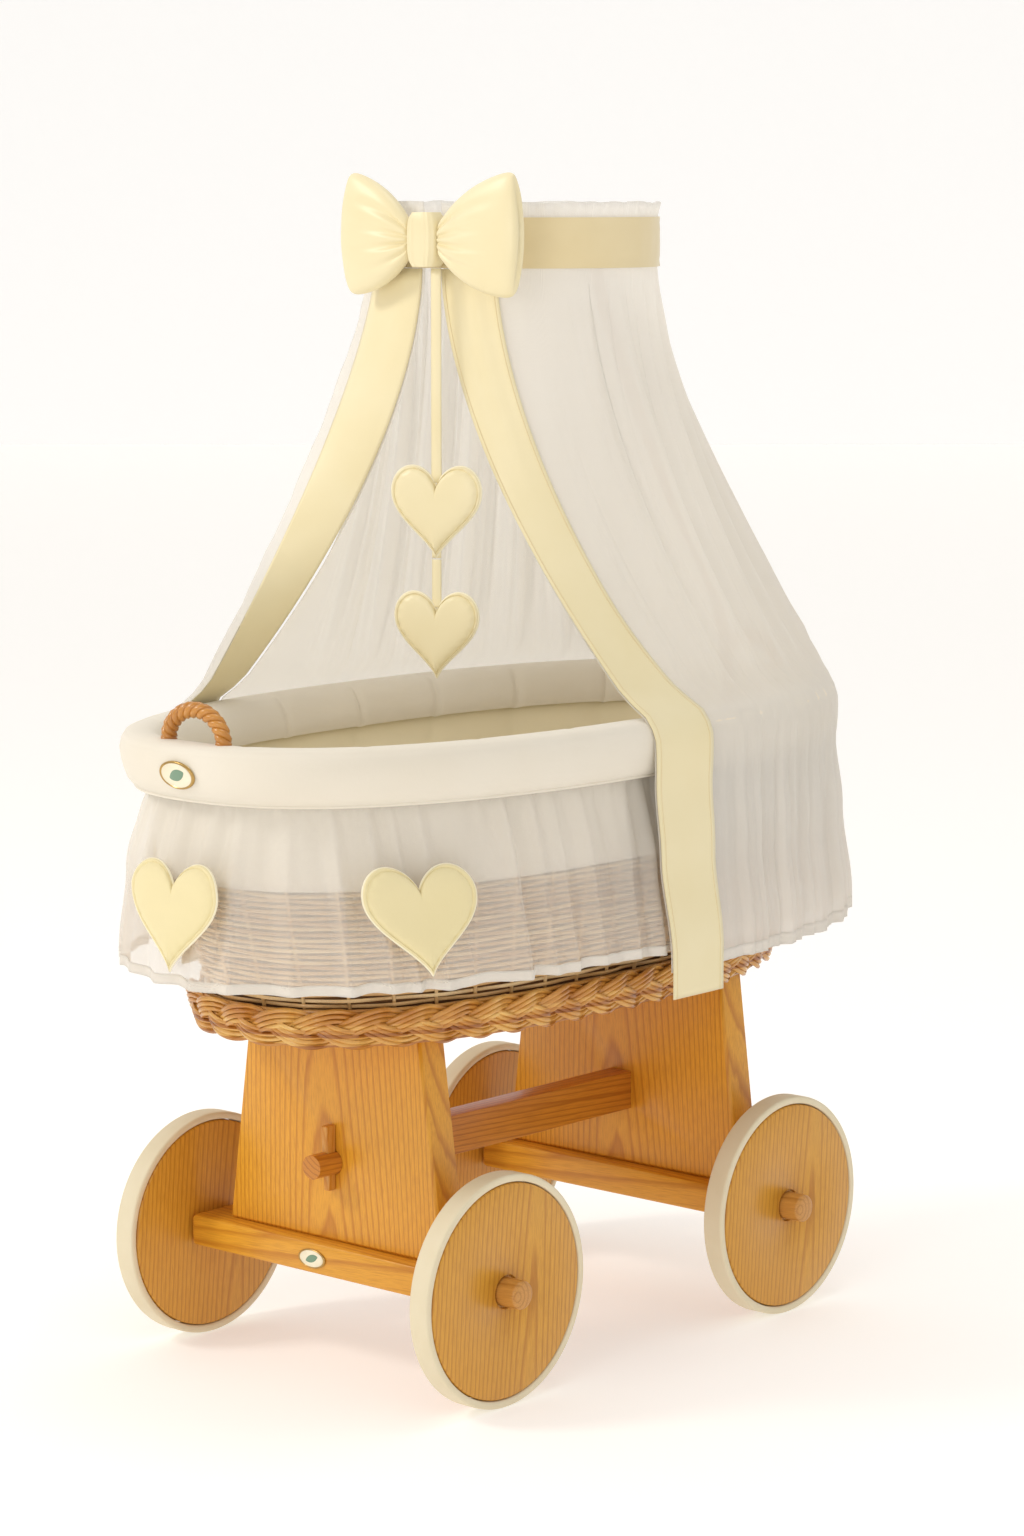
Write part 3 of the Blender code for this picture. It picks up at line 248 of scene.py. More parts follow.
# Butter-yellow satin: a close smooth face with a broad soft shine and faint cross threads.
def satinCloth(name, base, shade):
    material, tree, shader = newMaterial(name, Roughness=0.38, Sheen_Weight=0.2, Sheen_Roughness=0.4,
                                         Anisotropic=0.4, Specular_IOR_Level=0.45)
    place = addNode(tree, "ShaderNodeTexCoord").outputs["Object"]
    soft = addNode(tree, "ShaderNodeTexNoise", {"Scale": 14.0, "Detail": 3.0}, {"Vector": place})
    tree.links.new(mixColour(tree, soft.outputs["Fac"], base, shade), shader.inputs["Base Color"])
    fine = addNode(tree, "ShaderNodeTexNoise", {"Scale": 900.0, "Detail": 1.0}, {"Vector": place})
    addBump(tree, shader, fine.outputs["Fac"], 0.0002, 0.15)
    return material


def plain(name, code, **values):  # one even colour
    material, tree, shader = newMaterial(name, **values)
    shader.inputs["Base Color"].default_value = linear(code)
    return material


# Cream rubber tread: matt, with a slight dusty unevenness.
def rubber(name, code, shade):
    material, tree, shader = newMaterial(name, Roughness=0.62)
    place = addNode(tree, "ShaderNodeTexCoord").outputs["Object"]
    dust = addNode(tree, "ShaderNodeTexNoise", {"Scale": 30.0, "Detail": 4.0}, {"Vector": place})
    tree.links.new(mixColour(tree, dust.outputs["Fac"], code, shade), shader.inputs["Base Color"])
    grit = addNode(tree, "ShaderNodeTexNoise", {"Scale": 1500.0}, {"Vector": place})
    addBump(tree, shader, grit.outputs["Fac"], 0.0002, 0.2)
    return material


wickerBrown = willow("varnished willow", 0.00605, 0.3960, ("#b98546", "#d1a263", "#e4bd82", "#f3d8a6"))
# the braid keeps the darker default tones, deepened as painted shade for the gaps in the plait
braidBrown = willow("varnished willow braid", 0.0045, 0.3800)
handleBrown = willow("varnished willow handle", 0.5, 0.3, ("#85490f", "#a9681c", "#c98a38", "#e3b263"))
cottonCream = clothMaterial("cream cotton cover", "#ece6da", "#e3dac8", 0.0012, 0.0003, source="Object")
heartCream = clothMaterial("pale yellow cotton", "#ece0b6", "#e4d6a2", 0.0012, 0.0003, source="Object")
quiltCream = clothMaterial("quilted cotton liner", "#faf1d6", "#f3e7c4", 0.0012, 0.0003)
liningWhite = clothMaterial("white cotton lining", "#efeae1", "#e6dfd2", 0.0010, 0.0002)
skirtVoile = voile("white voile skirt", "#fbf8f2", "#f5f0e7", (0.22, 0.46), 0.34)
drapeVoile = voile("white voile canopy", "#fdfbf7", "#f8f5ef", (0.60, 0.82), 0.52)
hemVoile = voile("folded voile hem", "#fbf8f2", "#f4efe6", (0.70, 0.88), 0.3)
pipingCotton = plain("pale cotton piping", "#f3ebcf", Roughness=0.7, Sheen_Weight=0.2)
satinYellow = satinCloth("butter yellow satin", "#f0e5c0", "#e9dbae")
satinBand = satinCloth("satin crown band", "#e8d9b2", "#e0cd9e")
tyreCream = rubber("cream rubber", "#e6dcc2", "#dccfae")
shadowBrown = plain("shaded inner willow", "#74502e", Roughness=0.9)
badgePlate = plain("ivory enamel", "#efe6cb", Roughness=0.22, Coat_Weight=0.6, Coat_Roughness=0.08)
badgeRim = plain("brass rim", "#b9975a", Metallic=0.85, Roughness=0.3)
badgeLeaf = plain("green enamel", "#6d8f74", Roughness=0.25, Coat_Weight=0.6, Coat_Roughness=0.08)
print("materials made")


# placing pieces

# Name a finished piece, dress it, tie it to the body, and hide the CAD nodes that it stands for.
def settle(obj, name, material, body, *nodes, slot=None):
    obj.name = name
    obj.data.name = name
    if material is not None and len(obj.data.materials) > 1:
        obj.data.materials[0] = material
    elif material is not None:
        obj.data.materials.clear()
        obj.data.materials.append(material)
    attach(obj, body)
    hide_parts(*nodes)
    return obj


def onlySelect(obj):
    bpy.ops.object.select_all(action="DESELECT")
    obj.select_set(True)
    bpy.context.view_layer.objects.active = obj


def applyModifier(obj, kind, **settings):
    onlySelect(obj)
    modifier = obj.modifiers.new(kind.lower(), kind)
    for name, value in settings.items():
        setattr(modifier, name, value)
    bpy.ops.object.modifier_apply(modifier=modifier.name)


def bakePlace(obj):  # leave the piece at the origin, unturned and unscaled
    onlySelect(obj)
    bpy.ops.object.transform_apply(location=True, rotation=True, scale=True)


def smoothed(obj, degrees=35):
    onlySelect(obj)
    bpy.ops.object.shade_smooth_by_angle(angle=math.radians(degrees))


def joined(pieces):
    bpy.ops.object.select_all(action="DESELECT")
    for piece in pieces:
        piece.select_set(True)
    bpy.context.view_layer.objects.active = pieces[0]
    if len(pieces) > 1:
        bpy.ops.object.join()
    return pieces[0]


def box(nodeName):
    low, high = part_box(nodeName)
    return Vector(low), Vector(high)


# A clean copy of a CAD piece, with its sharp corners eased by a small round.
def refined(nodeName, edge, steps=3):
    source = bpy.data.objects[nodeName]
    obj = source.copy()
    obj.data = source.data.copy()
    bpy.context.scene.collection.objects.link(obj)
    for key in list(obj.keys()):
        del obj[key]
    obj.data.materials.clear()
    onlySelect(obj)
    bpy.ops.object.parent_clear(type="CLEAR_KEEP_TRANSFORM")
    bpy.ops.object.transform_apply(location=True, rotation=True, scale=True)
    bpy.ops.object.mode_set(mode="EDIT")
    bpy.ops.mesh.select_all(action="SELECT")
    bpy.ops.mesh.remove_doubles(threshold=0.00001)
    bpy.ops.mesh.dissolve_limited(angle_limit=math.radians(1.0))
    bpy.ops.mesh.normals_make_consistent(inside=False)
    bpy.ops.object.mode_set(mode="OBJECT")
    if edge:
        applyModifier(obj, "BEVEL", width=edge, segments=steps, limit_method="ANGLE",
                      angle_limit=math.radians(35), harden_normals=False)
    smoothed(obj)
    return obj


def meshOf(name, points, faces, uvs=None):
    mesh = bpy.data.meshes.new(name)
    mesh.from_pydata([tuple(p) for p in points], [], faces)
    obj = bpy.data.objects.new(name, mesh)
    bpy.context.scene.collection.objects.link(obj)
    if uvs:
        layer = mesh.uv_layers.new(name="UVMap")
        for loop in mesh.loops:
            layer.data[loop.index].uv = uvs[loop.vertex_index]
    return obj


def outward(obj):
    onlySelect(obj)
    bpy.ops.object.mode_set(mode="EDIT")
    bpy.ops.mesh.select_all(action="SELECT")
    bpy.ops.mesh.normals_make_consistent(inside=False)
    bpy.ops.object.mode_set(mode="OBJECT")


# One layer of cloth through a grid of points, laid out flat in its UV map in metres.
def clothSheet(name, rows, closed=False):
    wide = len(rows[0])
    points = [p for row in rows for p in row]
    middle = rows[len(rows) // 2]
    steps = [(middle[j] - middle[j - 1]).length for j in range(1, wide)]
    across = [0.0]
    for step in steps:
        across.append(across[-1] + step)
    uvs = []
    down = 0.0
    for i, row in enumerate(rows):
        if i:
            down += (row[wide // 2] - rows[i - 1][wide // 2]).length
        uvs += [(a, -down) for a in across]
    faces = []
    for i in range(len(rows) - 1):
        for j in range(wide if closed else wide - 1):
            k = (j + 1) % wide
            faces.append((i * wide + j, (i + 1) * wide + j, (i + 1) * wide + k, i * wide + k))
    return meshOf(name, points, faces, uvs)


def thickened(obj, thickness, offset=1.0):
    applyModifier(obj, "SOLIDIFY", thickness=thickness, offset=offset, use_even_offset=False)
    onlySelect(obj)
    bpy.ops.object.shade_smooth()
    return obj


# A closed body through rings of points.
def loftSolid(name, rings, closedRound=True):
    wide = len(rings[0])
    points = [p for ring in rings for p in ring]
    faces = []
    last = len(rings) if closedRound else len(rings) - 1
    for i in range(last):
        n = (i + 1) % len(rings)
        for j in range(wide):
            k = (j + 1) % wide
            faces.append((i * wide + j, n * wide + j, n * wide + k, i * wide + k))
    if not closedRound:
        faces.append(tuple(range(wide)))
        faces.append(tuple((len(rings) - 1) * wide + j for j in range(wide - 1, -1, -1)))
    obj = meshOf(name, points, faces)
    outward(obj)
    smoothed(obj, 50)
    return obj


# Round rods along paths of points, as one mesh.
def rods(name, paths, radius, closed=False, sides=1):
    curve = bpy.data.curves.new(name, "CURVE")
    curve.dimensions = "3D"
    curve.bevel_depth = radius
    curve.bevel_resolution = sides
    curve.use_fill_caps = True
    for path in paths:
        spline = curve.splines.new("POLY")
        spline.points.add(len(path) - 1)
        for point, spot in zip(spline.points, path):
            point.co = (*spot, 1.0)
        spline.use_cyclic_u = closed
    obj = bpy.data.objects.new(name, curve)
    bpy.context.scene.collection.objects.link(obj)
    onlySelect(obj)
    bpy.ops.object.convert(target="MESH")
    obj = bpy.context.view_layer.objects.active
    outward(obj)
    smoothed(obj, 60)
    return obj


# the basket's outline, shared by everything that follows the wicker

basket = {"power": 2.43, "centreY": -0.001413, "baseLow": 0.3836, "wallTop": 0.6799, "lowHalf": (0.176, 0.380),
          "topHalf": (0.226, 0.462), "stations": 80,
          "middleHalf": (0.201, 0.421)}


def ovalTurns(steps=2880):  # unit points of the oval at equal distances round its middle height
    middle = [(a + b) / 2 for a, b in zip(basket["lowHalf"], basket["topHalf"])]
    power = 2 / basket["power"]
    found = []
    for i in range(steps + 1):
        c, s = math.cos(2 * math.pi * i / steps), math.sin(2 * math.pi * i / steps)
        found.append((math.copysign(abs(c) ** power, c), math.copysign(abs(s) ** power, s)))
    run = [0.0]
    for (ax, ay), (bx, by) in zip(found, found[1:]):
        run.append(run[-1] + math.hypot((bx - ax) * middle[0], (by - ay) * middle[1]))
    even = []
    k = 0
    fine = basket["stations"] * 24
    for i in range(fine):
        goal = run[-1] * i / fine
        while run[k + 1] < goal:
            k += 1
        share = (goal - run[k]) / (run[k + 1] - run[k])
        even.append((found[k][0] + (found[k + 1][0] - found[k][0]) * share,
                     found[k][1] + (found[k + 1][1] - found[k][1]) * share))
    return even, run[-1]


ovalPoints, ovalLength = ovalTurns()


def unitAt(u):  # the unit point and the outward way at station u
    fine = len(ovalPoints)
    spot = (u % basket["stations"]) * fine / basket["stations"]
    k = int(spot) % fine
    share = spot - int(spot)
    a, b = ovalPoints[k], ovalPoints[(k + 1) % fine]
    x = a[0] + (b[0] - a[0]) * share
    y = a[1] + (b[1] - a[1]) * share
    p = basket["power"] - 1
    nx = math.copysign(abs(x) ** p, x) / basket["middleHalf"][0]
    ny = math.copysign(abs(y) ** p, y) / basket["middleHalf"][1]
    size = math.hypot(nx, ny) or 1.0
    return x, y, nx / size, ny / size


def around(u, out, z):  # a point by the basket's wall: station, distance outward, height
    x, y, nx, ny = unitAt(u)
    share = (z - basket["baseLow"]) / (basket["wallTop"] - basket["baseLow"])
    halfX = basket["lowHalf"][0] + (basket["topHalf"][0] - basket["lowHalf"][0]) * share
    halfY = basket["lowHalf"][1] + (basket["topHalf"][1] - basket["lowHalf"][1]) * share
    return Vector((x * halfX + nx * out, y * halfY + ny * out + basket["centreY"], z))


def tuck(u):
    return 0.018 * unitAt(u)[2] ** 2


def level(value, table):  # linear steps through a table whose first column is the key
    if value <= table[0][0]:
        return table[0][1:]
    for low, high in zip(table, table[1:]):
        if value <= high[0]:
            share = (value - low[0]) / (high[0] - low[0])
            share = share * share * (3 - 2 * share) * 0.35 + share * 0.65
            return tuple(a + (b - a) * share for a, b in zip(low[1:], high[1:]))
    return table[-1][1:]


# stand: boards, beams, stretcher and wedges

stand = {"edge": 0.0028, "beamEdge": 0.005, "wedgeEdge": 0.0012, "railEdge": 0.0022, "pegEdge": 0.0006}
for end in ("foot", "head"):
    board = refined(end + "_board", stand["edge"])
    settle(board, end + "Board", boardPine(end + " board pine", box(end + "_board"), back=0.05),
           "stand", end + "_board", slot="pine")
    beam = refined(end + "_axle_beam", stand["beamEdge"], 4)
    settle(beam, end + "AxleBeam", boardPine(end + " beam pine", box(end + "_axle_beam"), along="X", back=0.03),
           "stand", end + "_axle_beam", slot="pine")
    wedge = refined(end + "_wedge", stand["wedgeEdge"], 2)
    settle(wedge, end + "Wedge", boardPine(end + " wedge pine", box(end + "_wedge"), light="#d49a48"),
           end + "_wedge", end + "_wedge", slot="pine")
stretcher = refined("stretcher", stand["railEdge"])
# the rail's pine is drawn deeper than the boards' as painted shade for its place in shadow under the basket;
# its own wood is the same honey pine
stretcherPine = boardPine("stretcher pine with painted shade", box("stretcher"), light="#cc8526", dark="#a96413",
                          deep="#98560d", along="Y", back=0.03)
settle(stretcher, "stretcherRail", stretcherPine, "stand", "stretcher", slot="dark_pine")
dowels = ("top_dowel", "low_dowel")
for corner in corners:
    for kind in dowels:
        peg = refined(corner + "_" + kind, stand["pegEdge"], 2)
        settle(peg, corner.replace("_", "") + kind.replace("_", ""),
               pineWood(corner + " " + kind, "X", (0.0, 0.0, 0.0), "#c98f3f", "#ad7428", "#8c5519"),
               "stand", corner + "_" + kind, slot="pine")
print("stand built")


# wheels: turned pine discs, cream tyres, and pegs set in a counterbore

wheel = {"radius": 0.125, "tyre": 0.0085, "gap": 0.0009, "sides": 160, "inner": 0.207, "outer": 0.232,
         "sink": 0.0180, "sinkDepth": 0.004, "edge": 0.0022}


def onLathe(x, radius, centre, turn):  # a point at an angle round an axis along X
    return Vector((x, centre[1] + radius * math.cos(turn), centre[2] + radius * math.sin(turn)))


# A solid body turned on an axis along X, from a half profile of (x, radius).
def turned(name, profile, centre, sides):
    turns = [2 * math.pi * i / sides for i in range(sides)]
    return loftSolid(name, [[onLathe(x, radius, centre, turn) for turn in turns] for x, radius in profile],
                     closedRound=False)


# A ring turned on an axis along X, from the closed outline of its section.
def latheTyre(name, profile, centre, sides):
    turns = [2 * math.pi * i / sides for i in range(sides)]
    return loftSolid(name, [[onLathe(x, radius, centre, turn) for x, radius in profile] for turn in turns])


def roundedProfile(corners, radius, steps=4):  # a closed outline with rounded corners, in (x, r)
    found = []
    count = len(corners)
    for i in range(count):
        a, b, c = (Vector(corners[(i + k) % count]) for k in (-1, 0, 1))
        toA, toC = (a - b).normalized(), (c - b).normalized()
        start, stop = b + toA * radius, b + toC * radius
        for k in range(steps + 1):
            t = k / steps
            found.append(tuple((start * (1 - t) + b * t).lerp(b * (1 - t) + stop * t, t)))
    return found


for corner in corners:
    low, high = box(corner + "_tyre")
    middle = (low + high) / 2
    side = 1 if "right" in corner else -1
    inner, outer = side * wheel["inner"], side * wheel["outer"]
    seat = wheel["radius"] - wheel["tyre"]
    e = wheel["edge"]
    sinkRadius = wheel["sink"]
    face = seat - wheel["gap"]
    sunk = outer - side * wheel["sinkDepth"]
    profile = [(inner, 0.010), (inner, face - e), (inner + side * e * 0.3, face - e * 0.3),
               (inner + side * e, face), (outer - side * e, face), (outer - side * e * 0.3, face - e * 0.3),
               (outer, face - e), (outer, sinkRadius + 0.0008), (outer - side * 0.0008, sinkRadius),
               (sunk, sinkRadius), (sunk, 0.010)]
    disc = turned(corner + "Disc", profile, middle, wheel["sides"])
    settle(disc, corner.replace("_", "") + "Disc",
           boardPine(corner + " disc pine", (low, high), light="#d89e34", dark="#b9791c", deep="#a56a12",
                     back=0.05, tilt=4.0),
           corner + "_wheel", corner + "_wheel_disc", slot="pine")
    tread = roundedProfile([(inner - side * 0.0004, seat), (inner - side * 0.0004, wheel["radius"]),
                            (outer + side * 0.0004, wheel["radius"]), (outer + side * 0.0004, seat)], 0.0034)
    tyre = latheTyre(corner + "Tyre", tread, middle, wheel["sides"])
    settle(tyre, corner.replace("_", "") + "Tyre", tyreCream, corner + "_wheel", corner + "_tyre", slot="tyre")
    pinLow, pinHigh = box(corner + "_axle_pin")
    reach = side * max(abs(pinLow.x), abs(pinHigh.x))
    root = side * min(abs(pinLow.x), abs(pinHigh.x))
    shank = 0.0092
    headRadius = (pinHigh.z - pinLow.z) / 2
    headIn = outer - side * (wheel["sinkDepth"] - 0.0006)
    pegProfile = [(root, shank - 0.0005), (root, shank), (headIn, shank), (headIn, headRadius)]
    headRound = 0.0040
    for k in range(5):
        turn = math.pi / 2 * k / 4
        pegProfile.append((reach - side * headRound * (1 - math.sin(turn)),
                           headRadius - headRound * (1 - math.cos(turn))))
    peg = turned(corner + "Pin", pegProfile, (middle.x, middle.y, middle.z), 64)
    settle(peg, corner.replace("_", "") + "AxlePin",
           pineWood(corner + " pin pine", "X", (0.0, middle.y, middle.z), "#cf9547", "#b2782e", "#93591d"),
           "stand", corner + "_axle_pin", slot="pine")
print("wheels built")


# wicker: woven wall, rim, plaited base and twisted handles

wicker = {"rows": 46, "pitch": 0.00605, "rod": 0.0021, "swing": 0.0021, "stakes": 40, "stakeRod": 0.0021,
          "low": 0.3990}
weavers = []
for row in range(wicker["rows"]):
    path = []
    count = wicker["stakes"] * 5
    for i in range(count):
        u = basket["stations"] * i / count
        phase = math.pi * wicker["stakes"] * i / count + math.pi * (row % 2)
        z = wicker["low"] + wicker["pitch"] * row + 0.0005 * math.sin(u * 0.9 + row * 1.7)
        path.append(around(u, -0.0005 + wicker["swing"] * math.sin(phase), z))
    weavers.append(path)
wall = rods("wallRows", weavers, wicker["rod"], closed=True)
stakePaths = []
for i in range(wicker["stakes"]):
    u = basket["stations"] * (i + 0.5) / wicker["stakes"]
    stakePaths.append([around(u, -0.0005, 0.3970 + 0.281 * k / 8) for k in range(9)])
stakes = rods("wallStakes", stakePaths, wicker["stakeRod"])
# a dark sheet just inside the rods stands for the far side of the weave seen through the gaps; its dark brown
# is painted shade between the rows
shadedBackingRows = [[around(basket["stations"] * i / 240, -0.0030, 0.3975 + 0.2800 * k / 6) for i in range(240)]
            for k in range(7)]
shadedBacking = clothSheet("wallShadedBacking", shadedBackingRows, closed=True)
shadedBacking = thickened(shadedBacking, 0.0006, 0.0)
wall.data.materials.append(wickerBrown)
stakes.data.materials.append(wickerBrown)
shadedBacking.data.materials.append(shadowBrown)
wall = joined([wall, stakes, shadedBacking])
settle(wall, "wickerWall", wickerBrown, "basket", "wicker_wall", slot="wicker")

plait = {"waves": 14, "strands": 3, "rodsEach": 4, "rod": 0.0028, "rise": 0.0118, "depth": 0.0042,
         "middleZ": 0.4072, "middleOut": 0.0180, "steps": 560}
plaitPaths = []
for strand in range(plait["strands"]):
    for rod in range(plait["rodsEach"]):
        path = []
        for i in range(plait["steps"]):
            share = i / plait["steps"]
            turn = 2 * math.pi * (plait["waves"] * share + strand / plait["strands"])
            beside = (rod - 1.5) * plait["rod"] * 1.96
            z = plait["middleZ"] + plait["rise"] * math.sin(turn) + beside
            out = plait["middleOut"] + plait["depth"] * math.sin(2 * turn) - abs(rod - 1.5) * 0.0005
            path.append(around(basket["stations"] * share, out, z))
        plaitPaths.append(path)
for k in range(5):  # the straight rods that the plait is laced over
    path = [around(basket["stations"] * i / 240, 0.0100, 0.3885 + 0.0090 * k) for i in range(240)]
    plaitPaths.append(path)
border = rods("basePlait", plaitPaths, plait["rod"], closed=True)
settle(border, "baseBorder", braidBrown, "basket", "base_border", slot="wicker")

rope = {"strands": 4, "steps": 640, "turns": 40, "lay": 0.0045, "middleZ": 0.6877, "rod": 0.0029}
rimPaths = []
for strand in range(rope["strands"]):
    path = []
    for i in range(rope["steps"]):
        turn = 2 * math.pi * (rope["turns"] * i / rope["steps"] + strand / rope["strands"])
        path.append(around(basket["stations"] * i / rope["steps"], rope["lay"] * math.cos(turn),
                           rope["middleZ"] + rope["lay"] * math.sin(turn)))
    rimPaths.append(path)
rim = rods("rimPlait", rimPaths, rope["rod"], closed=True)
settle(rim, "rimBorder", wickerBrown, "basket", "rim_border", slot="wicker")

handle = {"spread": 0.040, "footZ": 0.6956, "strand": 0.0041, "lay": 0.0049, "turns": 6, "strands": 3}
for end in ("foot", "head"):
    low, high = box(end + "_handle")
    midY = (low.y + high.y) / 2
    top = high.z - 0.0080
    rise = top - handle["footZ"] - handle["spread"] * 0.8
    spine = []
    for i in range(9):
        spine.append(Vector((-handle["spread"], midY, handle["footZ"] + 0.001 + rise * i / 9)))
    for i in range(41):
        turn = math.pi * i / 40
        spine.append(Vector((-handle["spread"] * math.cos(turn), midY,
                             handle["footZ"] + rise + handle["spread"] * 0.8 * math.sin(turn))))
    for i in range(8, -1, -1):
        spine.append(Vector((handle["spread"], midY, handle["footZ"] + 0.001 + rise * i / 9)))
    strands = []
    for strand in range(handle["strands"]):
        path = []
        for i, spot in enumerate(spine):
            ahead = (spine[min(i + 1, len(spine) - 1)] - spine[max(i - 1, 0)]).normalized()
            sideways = ahead.cross(Vector((0, 1, 0))).normalized()
            turn = 2 * math.pi * (handle["turns"] * i / len(spine) + strand / handle["strands"])
            path.append(spot + (sideways * math.cos(turn)
                                + Vector((0, 1, 0)) * math.sin(turn)) * handle["lay"])
        strands.append(path)
    loop = rods(end + "Loop", strands, handle["strand"], sides=2)
    settle(loop, end + "Handle", handleBrown, "basket", end + "_handle", slot="wicker")
baseBoard = refined("base_board", 0.0015)
settle(baseBoard, "baseBoard", boardPine("base board pine", box("base_board"), along="Y"), "basket",
       "base_board", slot="pine")
print("wicker built")


# bedding: bumper roll, quilted liner and mattress

quilt = {"columns": 400, "rows": 26, "panels": 18, "puff": 0.0050, "seamZ": 2}
roll = {"columns": 480, "wrinkle": 0.0007, "piping": 0.0022}
rollProfile = ((0.0125, 0.6505), (0.0165, 0.6497), (0.0215, 0.6515), (0.0255, 0.6580), (0.0272, 0.6680),
               (0.0272, 0.6790), (0.0258, 0.6900), (0.0222, 0.6990), (0.0165, 0.7058), (0.0085, 0.7088),
               (0.0, 0.7095), (-0.0085, 0.7088), (-0.0160, 0.7055), (-0.0212, 0.6985), (-0.0243, 0.6890),
               (-0.0250, 0.6790), (-0.0240, 0.6690), (-0.0205, 0.6622), (-0.0150, 0.6625), (-0.0122, 0.6660),
               (-0.0120, 0.6800), (-0.0119, 0.6957), (0.0, 0.6960), (0.0119, 0.6957), (0.0120, 0.6800),
               (0.0121, 0.6600))
rings = []
for i in range(roll["columns"]):
    u = basket["stations"] * i / roll["columns"]
    ring = []
    for k, (out, z) in enumerate(rollProfile):
        spot = around(u, out, z)
        if k < 19:
            seam = math.exp(-(abs((u * quilt["panels"] / basket["stations"] + 0.5) % 1 - 0.5) / 0.035) ** 2)
            dent = 0.0042 * seam * max(0.0, min(1.0, (k - 10) / 3))
            wrinkle = roll["wrinkle"] * noise.noise(Vector((spot.x * 26, spot.y * 26, z * 60)))
            spot = around(u, out + dent + wrinkle, z - dent * 0.5)
        ring.append(spot)
    rings.append(ring)
bumper = loftSolid("bumperBody", rings)
smoothed(bumper, 50)
piping = rods("bumperPiping", [[around(basket["stations"] * i / 320, 0.0190, 0.6500) for i in range(320)]],
              roll["piping"], closed=True)
bumper = joined([bumper, piping])
settle(bumper, "bumperRoll", cottonCream, "basket", "bumper_roll", slot="cream")

liner = []
for k in range(quilt["rows"] + 1):
    share = k / quilt["rows"]
    z = 0.6775 - 0.2760 * share
    row = []
    for i in range(quilt["columns"]):
        u = basket["stations"] * i / quilt["columns"]
        seam = abs(math.sin(math.pi * quilt["panels"] * u / basket["stations"])) ** 0.5
        across = abs(math.sin(math.pi * quilt["seamZ"] * share)) ** 0.45
        puff = quilt["puff"] * (seam * across if 0 < share < 1 else 0.0)
        wander = 0.0006 * noise.noise(Vector((u * 0.9, z * 30, 0.3)))
        row.append(around(u, -0.0062 - 0.0085 * share - puff - wander, z))
    liner.append(row)
linerSheet = clothSheet("linerQuilt", liner, closed=True)
if linerSheet.data.polygons[0].normal.dot(linerSheet.data.polygons[0].center) > 0:
    linerSheet.data.flip_normals()
linerSheet = thickened(linerSheet, 0.0010, -1.0)
settle(linerSheet, "quiltedLiner", quiltCream, "basket", "liner", slot="cotton")
print("bumper and liner built")


# A stuffed copy of a CAD piece: a smaller closed skin that cloth pressure fills out, kept near the CAD face.
def inflated(nodeName, shrink, voxel, pressure, cap):
    obj = refined(nodeName, 0)
    low, high = box(nodeName)
    middle = (low + high) / 2
    size = high - low
    for vertex in obj.data.vertices:
        vertex.co = Vector([m + (c - m) * (1 - 2 * shrink / s) for c, m, s in zip(vertex.co, middle, size)])
    applyModifier(obj, "REMESH", mode="VOXEL", voxel_size=voxel)
    applyModifier(obj, "SMOOTH", factor=0.5, iterations=4)
    before = [v.co.copy() for v in obj.data.vertices]
    onlySelect(obj)
    cloth = obj.modifiers.new("stuffing", "CLOTH")
    cloth.settings.use_pressure = True
    cloth.settings.uniform_pressure_force = pressure
    cloth.settings.effector_weights.gravity = 0
    cloth.settings.quality = 6
    cloth.point_cache.frame_start = 1
    cloth.point_cache.frame_end = 20
    for tick in range(1, 21):
        bpy.context.scene.frame_set(tick)
    bpy.ops.object.modifier_apply(modifier="stuffing")
    bpy.context.scene.frame_set(1)
    for vertex, was in zip(obj.data.vertices, before):
        moved = vertex.co - was
        if moved.length > cap:
            vertex.co = was + moved.normalized() * cap
    applyModifier(obj, "SUBSURF", levels=1)
    onlySelect(obj)
    bpy.ops.object.shade_smooth()
    return obj


mattress = inflated("mattress", 0.0025, 0.006, 4.0, 0.0030)
settle(mattress, "stuffedMattress", cottonCream, "basket", "mattress", slot="cream")
print("mattress stuffed")


# the gathered skirt, its lining and its hem

skirt = {"columns": 1040, "rows": 26, "top": 0.6790, "hem": 0.4585, "thickness": 0.0005, "hemDeep": 0.011}
skirtTable = ((0.4585, 0.0890, 1.0), (0.5595, 0.0534, 0.7), (0.6495, 0.0057, 0.0), (0.6800, 0.0050, 0.0))


def gather(u, share):  # the skirt's pleats at a station, opening from fine gathers into broad folds
    turn = u / basket["stations"]
    slide = 1.3 * noise.noise(Vector((u * 0.21, 0.0, 4.0)))
    broad = math.sin(2 * math.pi * 34 * turn + 2.4 * slide)
    broad = broad * (0.8 + 0.5 * noise.noise(Vector((u * 0.33, 2.0, share))))
    mid = 1 - 2 * abs(math.sin(math.pi * 58 * turn + 2.6 * slide + 0.5 * share)) ** 1.15
    fine = math.sin(2 * math.pi * 104 * turn + 4.0 * slide)
    uneven = 0.75 + 0.6 * noise.noise(Vector((u * 0.7, 5.0, 1.5)))
    return (broad * 0.0046 * share ** 0.8 + mid * uneven * (0.0058 + 0.0006 * share) * min(1, share * 5 + 0.3)
            + fine * uneven * 0.0019 * (1 - 0.6 * share))


def skirtPoint(u, z):
    out, share = level(z, skirtTable)
    return around(u, out - tuck(u) * share + max(-0.0008 - 0.03 * share, gather(u, share)), z)


rows = []
for k in range(skirt["rows"] + 1):
    t = k / skirt["rows"]
    row = []
    for i in range(skirt["columns"]):
        u = basket["stations"] * i / skirt["columns"]
        sag = 0.0060 * noise.noise(Vector((u * 0.55, 1.0, 7.0))) * t
        z = skirt["top"] - (skirt["top"] - skirt["hem"]) * t + sag
        row.append(skirtPoint(u, z))
    rows.append(row)
skirtSheet = clothSheet("skirtVoile", rows, closed=True)
skirtSheet = thickened(skirtSheet, skirt["thickness"])
settle(skirtSheet, "gatheredSkirt", skirtVoile, "basket", "skirt", slot="sheer")

